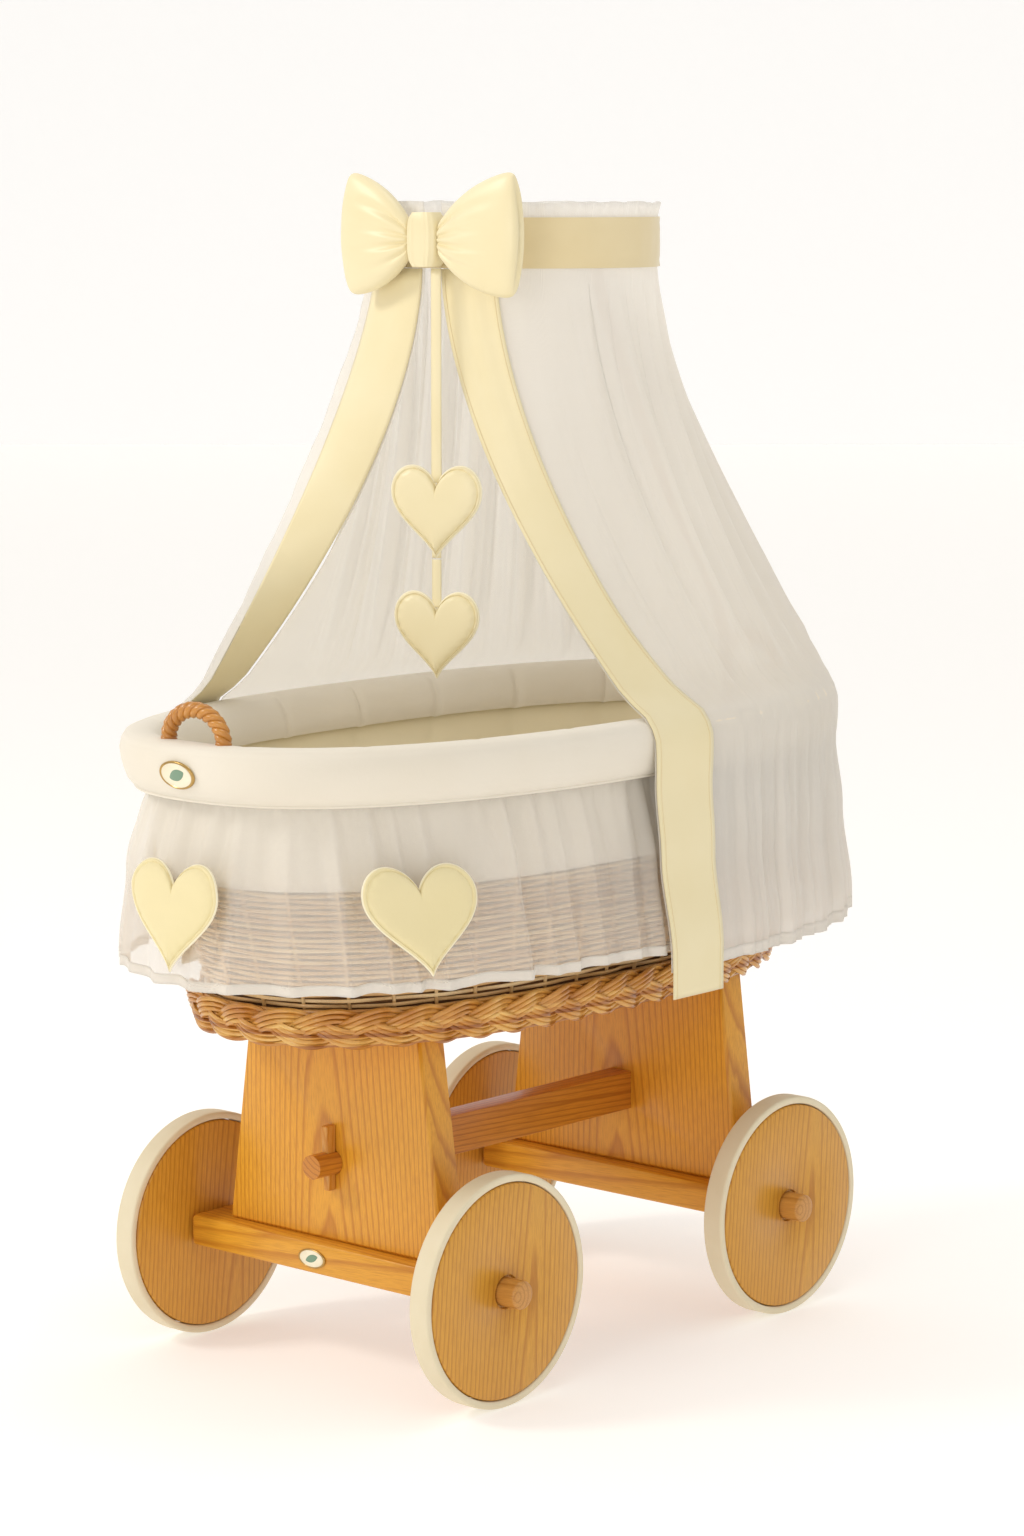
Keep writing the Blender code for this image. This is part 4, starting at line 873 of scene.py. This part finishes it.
hemRows = []
for k in range(4):
    hemRows.append([spot + Vector((0, 0, skirt["hemDeep"] * (1 - k / 3) - 0.0012)) for spot in rows[-1]])
for row in hemRows:
    for i, spot in enumerate(row):
        nx, ny = unitAt(basket["stations"] * i / skirt["columns"])[2:]
        row[i] = spot + Vector((nx, ny, 0)) * 0.0004
hem = thickened(clothSheet("skirtHem", hemRows, closed=True), 0.0007)
settle(hem, "skirtHem", hemVoile, "basket", "skirt", slot="sheer")

liningRows = []
for k in range(9):
    t = k / 8
    row = []
    for i in range(320):
        u = basket["stations"] * i / 320
        z = 0.6760 - 0.1180 * t
        out, share = level(z, skirtTable)
        row.append(around(u, 0.0040 + max(0.0, out - 0.0057) * 0.34 - tuck(u) * share * 0.4
                          + 0.0008 * noise.noise(Vector((u, t * 3, 5.0))), z))
    liningRows.append(row)
lining = thickened(clothSheet("skirtLining", liningRows, closed=True), 0.0006, 0.0)
settle(lining, "skirtLining", liningWhite, "basket", "skirt", slot="sheer")


# the canopy: one continuous voile sheet, gathered on the hoop and falling over the bumper

canopy = {"halfWide": 0.141, "centreY": 0.049 + basket["centreY"], "top": 1.2565, "hoop": 1.213,
          "fall": 1.1855, "crest": 0.0056, "land": 0.7101, "right": -1.1, "left": 46.7, "columns": 620,
          "waves": 18, "fabric": 0.0006, "ribbon": 0.071, "edge": 0.7103, "hem": 0.4405}
flapTop = -math.pi / 2 + math.radians(5)
flapTurn = 2 * math.pi - math.radians(10)
fallFolds = ((0.0, 0.0), (0.10, 0.003), (0.24, 0.006), (0.42, 0.009), (0.60, 0.010), (0.76, 0.009),
             (0.90, 0.005), (1.0, 0.0))
lowerRows = ((0.0155, 0.7103, 0.0, 0.0), (0.0290, 0.6875, 0.0, 0.0), (0.0360, 0.6435, 0.001, 0.1),
             (0.0644, 0.5595, 0.004, 0.7), (0.102, 0.4585, 0.004, 1.0), (0.107, 0.4405, 0.004, 1.1))


def crown(angle, out, z):
    c, s = math.cos(angle), math.sin(angle)
    halfLong = canopy["halfWide"]
    nx, ny = c / canopy["halfWide"], s / halfLong
    size = math.hypot(nx, ny)
    return Vector((canopy["halfWide"] * c + out * nx / size,
                   canopy["centreY"] + halfLong * s + out * ny / size, z))


def lowerPart(t):  # height, reach, fold depth and share of the tuck where the cloth lies over the bumper
    stops = [(-z, out, fold, tucked) for out, z, fold, tucked in lowerRows]
    z = canopy["edge"] - (canopy["edge"] - canopy["hem"]) * t
    return [z] + list(level(-z, stops))


def hump(s):
    away = abs(s - (20 - canopy["right"]) / (canopy["left"] - canopy["right"])) / 0.14
    return 0.5 + 0.5 * math.cos(math.pi * away) if away < 1 else 0.0


def drapeFold(s):
    edge = min(s, 1 - s) - canopy["ribbon"]
    fade = 0.0 if edge <= 0 else min(1.0, edge / 0.055)
    slide = 0.9 * noise.noise(Vector((s * 9.0, 0.4, 1.0)))
    main = math.sin(2 * math.pi * canopy["waves"] * s)
    fine = math.sin(2 * math.pi * 47 * s + 3 * slide)
    finer = math.sin(2 * math.pi * 83 * s + 5 * slide)
    return fade * main, fade * (0.62 * fine + 0.38 * finer)


# A point of the drape: part 0 is the gathered crown, 1 the fall to the bumper, 2 the fold over it.
def drapePoint(s, part, t, lift=0.0):
    angle = flapTop + (s + 0.055 * math.sin(2 * math.pi * s)) * flapTurn
    u = canopy["right"] + s * (canopy["left"] - canopy["right"])
    main, fine = drapeFold(s)
    if part == 0:
        z = canopy["top"] - (canopy["top"] - canopy["fall"]) * t
        frill = max(0.0, 1 - t * 4.5)
        wander = 2.0 * noise.noise(Vector((s * 14, 3.0, 0.5)))
        out = 0.0022 * frill + 0.0017 * frill * math.sin(s * 400 + wander) + lift
        ruffle = 0.0030 * frill * noise.noise(Vector((s * 26, 0.2, 0.9)))
        return crown(angle, canopy["crest"] + out, z + ruffle)
    h = hump(s)
    land = around(u, 0.026 * h, canopy["land"] + 0.036 * h)
    if part == 1:
        top = crown(angle, canopy["crest"], canopy["fall"])
        away = Vector((land.x - top.x, land.y - top.y, 0)).normalized()
        spot = top.lerp(land, t ** (1.7 - 0.45 * h))
        spot.z = top.z + (land.z - top.z) * t
        deep = level(t, fallFolds)[0]
        fade = min(1.0, t * 9) * (1 - 0.55 * max(0.0, t - 0.75) * 4)
        return spot + away * (deep * main * 1.15 + 0.0046 * fade * fine + lift)
    z, out, fold, tucked = lowerPart(t)
    extra = 0.012 * h * max(0.0, min(1.0, (z - 0.6435) / 0.02))
    ripple = fold * (1 + main) + 0.0036 * min(1.0, t * 3) * fine
    return around(u, out - tuck(u) * tucked + extra + ripple + lift, z)


def drapeRow(part, t, lift, shares):
    return [drapePoint(s, part, t, lift) for s in shares]


drapeLevels = ([(0, k / 9) for k in range(9)] + [(1, k / 34) for k in range(34)]
               + [(2, k / 24) for k in range(25)])
shares = [i / canopy["columns"] for i in range(canopy["columns"] + 1)]
rows = [drapeRow(part, t, 0.0004, shares) for part, t in drapeLevels]


def eased(rows, first, last, times):  # soften the crease where the fall meets the bumper
    for _ in range(times):
        for k in range(first, last):
            rows[k] = [a * 0.25 + b * 0.5 + c * 0.25 for a, b, c in zip(rows[k - 1], rows[k], rows[k + 1])]


eased(rows, 38, 48, 1)
drape = thickened(clothSheet("drapeVoile", rows), canopy["fabric"])
settle(drape, "canopyDrape", drapeVoile, "basket", "canopy_drape", slot="sheer")

hemRows = [[spot + Vector((0, 0, 0.013 * (1 - k / 3) - 0.0008)) for spot in rows[-1]] for k in range(4)]
drapeHem = thickened(clothSheet("drapeHem", hemRows), 0.0008)
settle(drapeHem, "canopyHem", hemVoile, "basket", "canopy_drape", slot="sheer")


# satin ribbons down the canopy's two front edges

ribbonLevels = drapeLevels[9:]


def grown(rows, distance):  # the grid moved along its own outward normals
    found = []
    for i, row in enumerate(rows):
        moved = []
        for j, spot in enumerate(row):
            across = row[min(j + 1, len(row) - 1)] - row[max(j - 1, 0)]
            down = rows[min(i + 1, len(rows) - 1)][j] - rows[max(i - 1, 0)][j]
            moved.append(spot + down.cross(across).normalized() * distance)
        found.append(moved)
    return found


def ribbonSheet(name, rows, drop):
    rows = rows + [[spot + Vector((0, 0, -drop * k / 4)) for spot in rows[-1]] for k in range(1, 5)]
    return clothSheet(name, rows), rows


def stitchLine(rows, share, lift):  # a raised line of stitching along a ribbon's edge
    path = []
    for row in rows:
        place = share * (len(row) - 1)
        k = min(int(place), len(row) - 2)
        path.append(row[k].lerp(row[k + 1], place - k))
    for i in range(len(path)):
        across = rows[i][-1] - rows[i][0]
        down = rows[min(i + 1, len(rows) - 1)][0] - rows[max(i - 1, 0)][0]
        path[i] = path[i] + down.cross(across).normalized() * lift
    return path


rows = []
for part, t in ribbonLevels:  # narrower above, where the gathered edge draws it in
    widen = 1.0 if part == 2 else max(0.0, (t - 0.72) / 0.28) ** 2
    reach = 0.054 + (canopy["ribbon"] - 0.054) * widen
    rows.append(drapeRow(part, t, 0.0, [reach * i / 16 for i in range(17)]))
eased(rows, 29, 39, 1)
for k, row in enumerate(grown(rows, 0.0030)):  # soft lengthways folds that start under the bow
    fade = max(0.0, 1 - k / 20) ** 1.4
    lifted = grown(rows, 0.0030 + 0.0021)[k]
    rows[k] = [a.lerp(b, fade * (0.5 - 0.5 * math.cos(2 * math.pi * 2.5 * j / 16))) for j, (a, b) in
               enumerate(zip(row, lifted))]
right, full = ribbonSheet("rightRibbon", rows, 0.030)
right = thickened(right, 0.0009)
stitches = rods("rightStitch", [stitchLine(full, share, 0.0009) for share in (0.07, 0.93)], 0.0006)
settle(stitches, "rightRibbonStitching", satinBand, "basket", "right_ribbon", slot="satin")
settle(right, "rightRibbon", satinYellow, "basket", "right_ribbon", slot="satin")


def lapelPoint(part, t, across, lift):
    u = canopy["left"] + 1.9 * across
    land = around(u, 0.0, canopy["land"])
    if part == 1:
        top = crown(flapTop + flapTurn - math.radians(30) * across, canopy["crest"] + 0.014 * across,
                    canopy["fall"])
        spot = top.lerp(land, t ** (1.7 - 0.3 * across))
        spot.z = top.z + (land.z - top.z) * t
        away = Vector((land.x - top.x, land.y - top.y, 0)).normalized()
        return spot + away * lift
    z, out, fold, tucked = lowerPart(t)
    return around(u, out - tuck(u) * tucked + fold + lift, z)


rows = []
for k, (part, t) in enumerate(ribbonLevels):
    fade = max(0.0, 1 - k / 20) ** 1.4
    ripples = [0.0018 * fade * (0.5 - 0.5 * math.cos(2 * math.pi * 2 * i / 16)) for i in range(17)]
    rows.append([lapelPoint(part, t, 1.08 * i / 16, 0.0040 + ripples[i]) for i in range(17)])
eased(rows, 29, 39, 1)
left, full = ribbonSheet("leftRibbon", rows, 0.030)
left = thickened(left, 0.0009, 0.0)
stitches = rods("leftStitch", [stitchLine(full, share, 0.0006) for share in (0.07, 0.93)], 0.0006)
settle(stitches, "leftRibbonStitching", satinBand, "basket", "left_ribbon", slot="satin")
settle(left, "leftRibbon", satinYellow, "basket", "left_ribbon", slot="satin")
frillRows = []
for k, (part, t) in enumerate(ribbonLevels):
    row = []
    for i in range(7):
        a = 1.06 + 0.34 * i / 6
        ripple = 0.0009 * (i / 6) * math.sin(k * 0.9) + 0.0005 * (i / 6) * math.sin(k * 2.3 + 1)
        row.append(lapelPoint(part, t, a, 0.0034 + ripple))
    frillRows.append(row)
eased(frillRows, 29, 39, 1)
frill = thickened(clothSheet("lapelFrill", frillRows), 0.0006, 0.0)
settle(frill, "leftFrill", drapeVoile, "basket", "left_ribbon", slot="sheer")
print("ribbons built")


# crown: hoop, satin band, saddle, pole and clip

bpy.ops.mesh.primitive_torus_add(major_radius=canopy["halfWide"], minor_radius=0.0043, major_segments=160,
                                 minor_segments=14, location=(0, canopy["centreY"], canopy["hoop"]))
hoop = bpy.context.object
bakePlace(hoop)
smoothed(hoop, 60)
darkPine = pineWood("stained hoop pine", "Z", (0, 0, 0), "#a8641c", "#8a4a12", "#74380c")
settle(hoop, "crownHoop", darkPine, "basket", "crown_hoop", slot="dark_pine")
for nodeName, name, edge in (("crown_saddle", "crownSaddle", 0.0012), ("pole_clip", "poleClip", 0.0012)):
    settle(refined(nodeName, edge, 2), name, darkPine, "basket", nodeName, slot="dark_pine")
pole = refined("canopy_pole", 0)
settle(pole, "canopyPole", darkPine, "basket", "canopy_pole", slot="dark_pine")

band = {"top": 1.2405, "low": 1.1865, "in": 0.0080, "out": 0.0094}
bandRings = []
for i in range(240):
    angle = 2 * math.pi * i / 240
    ring = []
    for k in range(9):
        z = band["top"] - (band["top"] - band["low"]) * k / 8
        crease = 0.0007 * noise.noise(Vector((math.cos(angle) * 9, math.sin(angle) * 9, z * 90)))
        pinch = 0.0006 if k in (1, 7) else 0.0
        ring.append(crown(angle, band["out"] + crease - pinch, z))
    ring.append(crown(angle, band["in"], band["low"]))
    ring.append(crown(angle, band["in"], band["top"]))
    bandRings.append(ring)
bandBody = loftSolid("bandBody", bandRings)
settle(bandBody, "crownBand", satinBand, "basket", "crown_band", slot="satin")
print("crown built")


# bow: two pleated loops and a knot

bow = {"x": 0.006, "z": 1.217, "back": 0.049 - 0.141 - 0.0094 + basket["centreY"] - 0.0003, "left": 0.100,
       "right": 0.118, "creases": ((0.20, 0.7), (0.40, 1.0), (0.57, 0.8), (0.78, 0.9)), "tall": 0.985}
loopSections = ((0.0, 0.0180, 0.0080), (0.04, 0.0225, 0.0092), (0.10, 0.0290, 0.0112), (0.18, 0.0375, 0.0132),
                (0.28, 0.0455, 0.0150), (0.40, 0.0535, 0.0160), (0.54, 0.0600, 0.0163), (0.68, 0.0645, 0.0160),
                (0.80, 0.0672, 0.0150), (0.90, 0.0680, 0.0130), (0.96, 0.0668, 0.0104), (0.99, 0.0640, 0.0070),
                (1.0, 0.0600, 0.0030))


# One loop of folded satin: creases fan out from the knot, and the outer end is a soft vertical fold.
def bowLoop(name, side, length):
    rings = []
    count = 72
    for share, tall, thick in loopSections:
        ring = []
        for i in range(count):
            turn = 2 * math.pi * i / count
            up = 1 - 2 * abs((i / count + 0.25) % 1.0 * 2 - 1)  # even steps from bottom to top and back
            depth = -1.0 if i < count / 4 or i >= count * 3 / 4 else 1.0
            full = max(0.0, 1 - abs(up) ** 2.6) ** 0.5
            fan = sum(math.exp(-((0.5 + 0.5 * up - place) / 0.040) ** 2) * deep
                      for place, deep in bow["creases"])
            crease = 0.0066 * fan * max(0.0, 1 - share * 1.25) ** 0.9 * min(1, share * 5 + 0.5)
            bulge = 0.0022 * noise.noise(Vector((share * 3, up * 1.7, side * 3.0)))
            lean = 0.006 * share
            corner = 0.0085 * share ** 3 * (0.25 - up * up)
            x = bow["x"] + side * (0.0213 + length * share * 0.955 + corner)
            y = bow["back"] - 0.0165 + depth * max(0.0004, thick * full - crease * full + bulge * full * share)
            ring.append(Vector((x, y, bow["z"] + lean + tall * bow["tall"] * up)))
        rings.append(ring)
    obj = loftSolid(name, rings, closedRound=False)
    applyModifier(obj, "SUBSURF", levels=1)
    smoothed(obj, 70)
    return obj


for hand, side in (("left", -1), ("right", 1)):
    settle(bowLoop(hand + "Loop", side, bow[hand]), hand + "BowLoop", satinYellow, "basket",
           hand + "_bow_loop", slot="satin")
low, high = box("bow_knot")
middle = (low + high) / 2
half = (high - low) / 2
rings = []
for k in range(13):
    t = k / 12
    z = low.z + (high.z - low.z) * t
    belly = 0.86 + 0.14 * math.sin(math.pi * t)
    ring = []
    for i in range(96):
        turn = 2 * math.pi * i / 96
        c, s = math.cos(turn), math.sin(turn)
        x = math.copysign(abs(c) ** 0.55, c)
        y = math.copysign(abs(s) ** 0.55, s)
        pleat = 1 - 0.075 * abs(math.cos(3.5 * math.pi * x)) ** 2 if s < 0 else 1.0
        endRound = 1 - 0.20 * (abs(t - 0.5) * 2) ** 6
        ring.append(Vector((middle.x + half.x * x * belly * endRound,
                            middle.y + half.y * y * pleat * endRound, z)))
    rings.append(ring)
knot = loftSolid("knotBody", rings, closedRound=False)
smoothed(knot, 60)
settle(knot, "bowKnot", satinYellow, "basket", "bow_knot", slot="satin")
print("bow built")


# hearts and the narrow ribbons that carry them

def heartOutline(count):
    found = []
    for i in range(count):
        t = 2 * math.pi * i / count
        found.append((16 * math.copysign(abs(math.sin(t)) ** 2.6, math.sin(t)),
                      13 * math.cos(t) - 5 * math.cos(2 * t) - 2 * math.cos(3 * t) - math.cos(4 * t)))
    xs = [p[0] for p in found]
    ys = [p[1] for p in found]
    wide, tall = max(xs) - min(xs), max(ys) - min(ys)
    return [(x / wide, (y - (max(ys) + min(ys)) / 2) / tall) for x, y in found]


heartSkin = {"count": 128, "rings": ((1.0, 0.14), (0.985, 0.34), (0.965, 0.42), (0.945, 0.36), (0.932, 0.26),
                                     (0.918, 0.38), (0.88, 0.62), (0.82, 0.78), (0.72, 0.90), (0.58, 0.97),
                                     (0.42, 1.0), (0.26, 1.0), (0.08, 1.0)), "piping": 0.0013}


# A stuffed heart with a stitched border: place turns flat (x, out, up) into a point of the model.
def paddedHeart(name, place, width, height, thick):
    outline = heartOutline(heartSkin["count"])
    rings = []
    for side in (-1, 1):
        order = heartSkin["rings"] if side == 1 else heartSkin["rings"][::-1]
        for share, puff in order:
            ring = []
            for i, (x, y) in enumerate(outline):
                stitch = 0.0005 if 0.82 < share < 0.96 else 0.0
                pucker = stitch * math.sin(i * 2 * math.pi * 30 / heartSkin["count"])
                ring.append(place(x * width * share, side * (puff * thick / 2 + pucker),
                                  (y * share + 0.05 * (1 - share)) * height))
            rings.append(ring)
    obj = loftSolid(name, rings, closedRound=False)
    path = [place(x * width, 0.0, y * height) for x, y in outline]
    piping = rods(name + "Piping", [path], heartSkin["piping"], closed=True)
    obj.data.materials.append(None)
    piping.data.materials.append(pipingCotton)
    obj = joined([obj, piping])
    smoothed(obj, 60)
    return obj


for name, u in (("foot", 60.0), ("right", 67.5), ("left", 49.5)):
    centreZ = 0.5295

    def onSkirt(x, out, up, u=u, centreZ=centreZ):
        z = centreZ + up
        reach, share = level(z, skirtTable)
        foot = around(u, reach - tuck(u) * share + 0.0078, z)
        nx, ny = unitAt(u)[2:]
        return foot + Vector((-ny, nx, 0)) * x + Vector((nx, ny, 0.36)).normalized() * (out + 0.0062)
    heart = paddedHeart(name + "HeartBody", onSkirt, 0.124, 0.112, 0.0125)
    settle(heart, name + "SkirtHeart", heartCream, "basket", name + "_skirt_heart", slot="cream")

hangX = Vector((math.cos(math.radians(20)), math.sin(math.radians(20)), 0))
hangOut = Vector((hangX.y, -hangX.x, 0))
pendantLine = Vector((0.020, -0.118113, 0.0))
for nodeName, name, body in (("upper_heart", "upperHeart", "pendant"),
                             ("lower_heart", "lowerHeart", "lower_pendant")):
    low, high = box(nodeName)
    midZ = (low.z + high.z) / 2

    def inAir(x, out, up, midZ=midZ):
        return pendantLine + Vector((0.0, 0.0, midZ + up)) + hangX * x + hangOut * out
    width = (high.x - low.x - 0.0225 * abs(hangX.y) * 0.8) / hangX.x
    heart = paddedHeart(name + "Body", inAir, width * 0.985, (high.z - low.z) - 0.0012, 0.0150)
    if name == "upperHeart":  # the sewn tab that the link ribbon hangs from
        tabRows = [[pendantLine + Vector((0.0, 0.0, low.z + 0.0002 + 0.016 * k / 4))
                    + hangX * (0.0104 * (i / 4 - 0.5)) for i in range(5)] for k in range(5)]
        tab = thickened(clothSheet("heartTab", tabRows), 0.0012, 0.0)
        tab.data.materials.append(satinYellow)
        heart = joined([heart, tab])
    settle(heart, name, satinYellow, body, nodeName, slot="satin")
for nodeName, name, body in (("hanging_ribbon", "hangingRibbon", "pendant"),
                             ("link_ribbon", "linkRibbon", "lower_pendant")):
    low, high = box(nodeName)
    wide = (high.x - low.x - 0.002 * hangX.y) / hangX.x
    rows = []
    for k in range(25):
        z = high.z - 0.0012 - (high.z - low.z - 0.0012) * k / 24
        rows.append([pendantLine + Vector((0.0, 0.0, z)) + hangX * (wide * (i / 6 - 0.5) * 0.99)
                     + hangOut * (0.0006 * math.cos(math.pi * (i / 3 - 1)) + 0.0004) for i in range(7)])
    strip = thickened(clothSheet(name + "Strip", rows), 0.0010, 0.0)
    settle(strip, name, satinYellow, body, nodeName, slot="satin")
print("hearts built")


# badges: plain oval plates with a leaf

leafLean = (0.94, 0.34)  # the cosine and sine of the leaf's lean


# An ivory plate with a raised brass rim and a small green leaf.
def ovalBadge(name, centre, across, up, out, wide, tall, thick, body, nodeName, slot):
    plate = []
    for share, height in ((1.0, 0.0), (1.0, 0.55), (0.97, 0.85), (0.90, 1.0), (0.86, 0.78), (0.84, 0.62),
                          (0.3, 0.62)):
        plate.append([centre + across * (wide / 2 * share * math.cos(2 * math.pi * i / 64))
                      + up * (tall / 2 * share * math.sin(2 * math.pi * i / 64)) + out * (thick * height)
                      for i in range(64)])
    disc = loftSolid(name + "Plate", plate, closedRound=False)
    disc.data.materials.append(badgePlate)
    disc.data.materials.append(badgeRim)
    for face in disc.data.polygons:
        away = face.center - centre
        place = math.hypot(away.dot(across) / (wide / 2), away.dot(up) / (tall / 2))
        face.material_index = 1 if place > 0.85 else 0
    leafRings = []
    for share, height in ((1.0, 0.60), (0.9, 0.74), (0.5, 0.80), (0.1, 0.80)):
        ring = []
        for i in range(32):
            t = 2 * math.pi * i / 32
            x = math.cos(t) * wide * 0.24 * share
            z = math.sin(t) * abs(math.sin(t)) ** 0.6 * tall * 0.20 * share
            ring.append(centre + across * (x * leafLean[0] - z * leafLean[1])
                        + up * (z * leafLean[0] + x * leafLean[1]) + out * (thick * height))
        leafRings.append(ring)
    leaf = loftSolid(name + "Leaf", leafRings, closedRound=False)
    leaf.data.materials.append(badgeLeaf)
    settle(joined([disc, leaf]), name, None, body, nodeName, slot=slot)


low, high = box("bumper_badge")
badgeUp = (around(60, 0.0265, 0.6855) - around(60, 0.0265, 0.6635)).normalized()
badgeOut = Vector((1, 0, 0)).cross(badgeUp).normalized()
middle = (low + high) / 2
ovalBadge("bumperBadge", Vector((middle.x, low.y + 0.0042, middle.z)), Vector((1, 0, 0)), badgeUp, badgeOut,
          0.050, 0.031, 0.0024, "basket", "bumper_badge", "enamel")
low, high = box("beam_badge")
middle = (low + high) / 2
ovalBadge("beamBadge", Vector((middle.x, high.y, middle.z)), Vector((1, 0, 0)), Vector((0, 0, 1)),
          Vector((0, -1, 0)), high.x - low.x, high.z - low.z, 0.0018, "stand", "beam_badge", "plastic")
print("badges built")


# room, light and camera

def studioLight(name, spot, target, size, power, tint):
    bpy.ops.object.light_add(type="AREA", location=spot)
    light = bpy.context.object
    light.name = name
    light.data.shape = "DISK"
    light.data.size = size
    light.data.energy = power
    light.data.color = linear(tint)[:3]
    light.rotation_euler = (Vector(target) - Vector(spot)).to_track_quat("-Z", "Y").to_euler()


bpy.ops.mesh.primitive_plane_add(size=60, location=(0, 0, 0))
floor = bpy.context.object
floor.name = "studioFloor"
floorMaterial = plain("pale studio floor", "#e1dfdc", Roughness=0.9, Emission_Strength=0.41)
floorMaterial.node_tree.nodes["Principled BSDF"].inputs["Emission Color"].default_value = linear("#fbf9f6")
floor.data.materials.append(floorMaterial)
toward = Vector((-0.6613, 0.7501, 0.0))
bpy.ops.mesh.primitive_plane_add(size=60, location=toward * 16.0)
wall = bpy.context.object
wall.name = "studioWall"
wall.rotation_euler = toward.to_track_quat("Z", "Y").to_euler()
bakePlace(wall)
backdropMaterial = plain("lit studio wall", "#e2e2e2", Roughness=0.9, Emission_Strength=0.37)
backdropMaterial.node_tree.nodes["Principled BSDF"].inputs["Emission Color"].default_value = linear("#fdfcfa")
wall.data.materials.append(backdropMaterial)
world = bpy.data.worlds.new("studio")
bpy.context.scene.world = world
world.use_nodes = True
background = world.node_tree.nodes["Background"]
background.inputs["Color"].default_value = linear("#fcf9f5")
background.inputs["Strength"].default_value = 0.66
studioLight("keyLight", (-2.2, -3.0, 3.4), (0, 0, 0.6), 1.1, 62, "#fffaf2")
studioLight("fillLight", (3.6, -1.2, 2.2), (0, 0, 0.6), 2.4, 8, "#fdf8f0")
studioLight("frontLight", (1.5, -4.6, 1.5), (0, 0, 0.75), 1.6, 28, "#fffaf2")
studioLight("topLight", (0.4, 0.4, 4.2), (0, 0, 0.5), 1.6, 20, "#ffffff")
bpy.context.scene.view_settings.view_transform = "Standard"

eye = Vector((2.9532, -3.3392 + basket["centreY"], 1.2686))
aim = Vector((-0.0969, 0.1400 + basket["centreY"], 0.6081))
bpy.ops.object.camera_add(location=eye)
camera = bpy.context.object
camera.name = "photoCamera"
camera.rotation_euler = (aim - eye).to_track_quat("-Z", "Y").to_euler()
camera.data.lens = 94.77
camera.data.sensor_width = 36
bpy.context.scene.camera = camera
print("stage set")
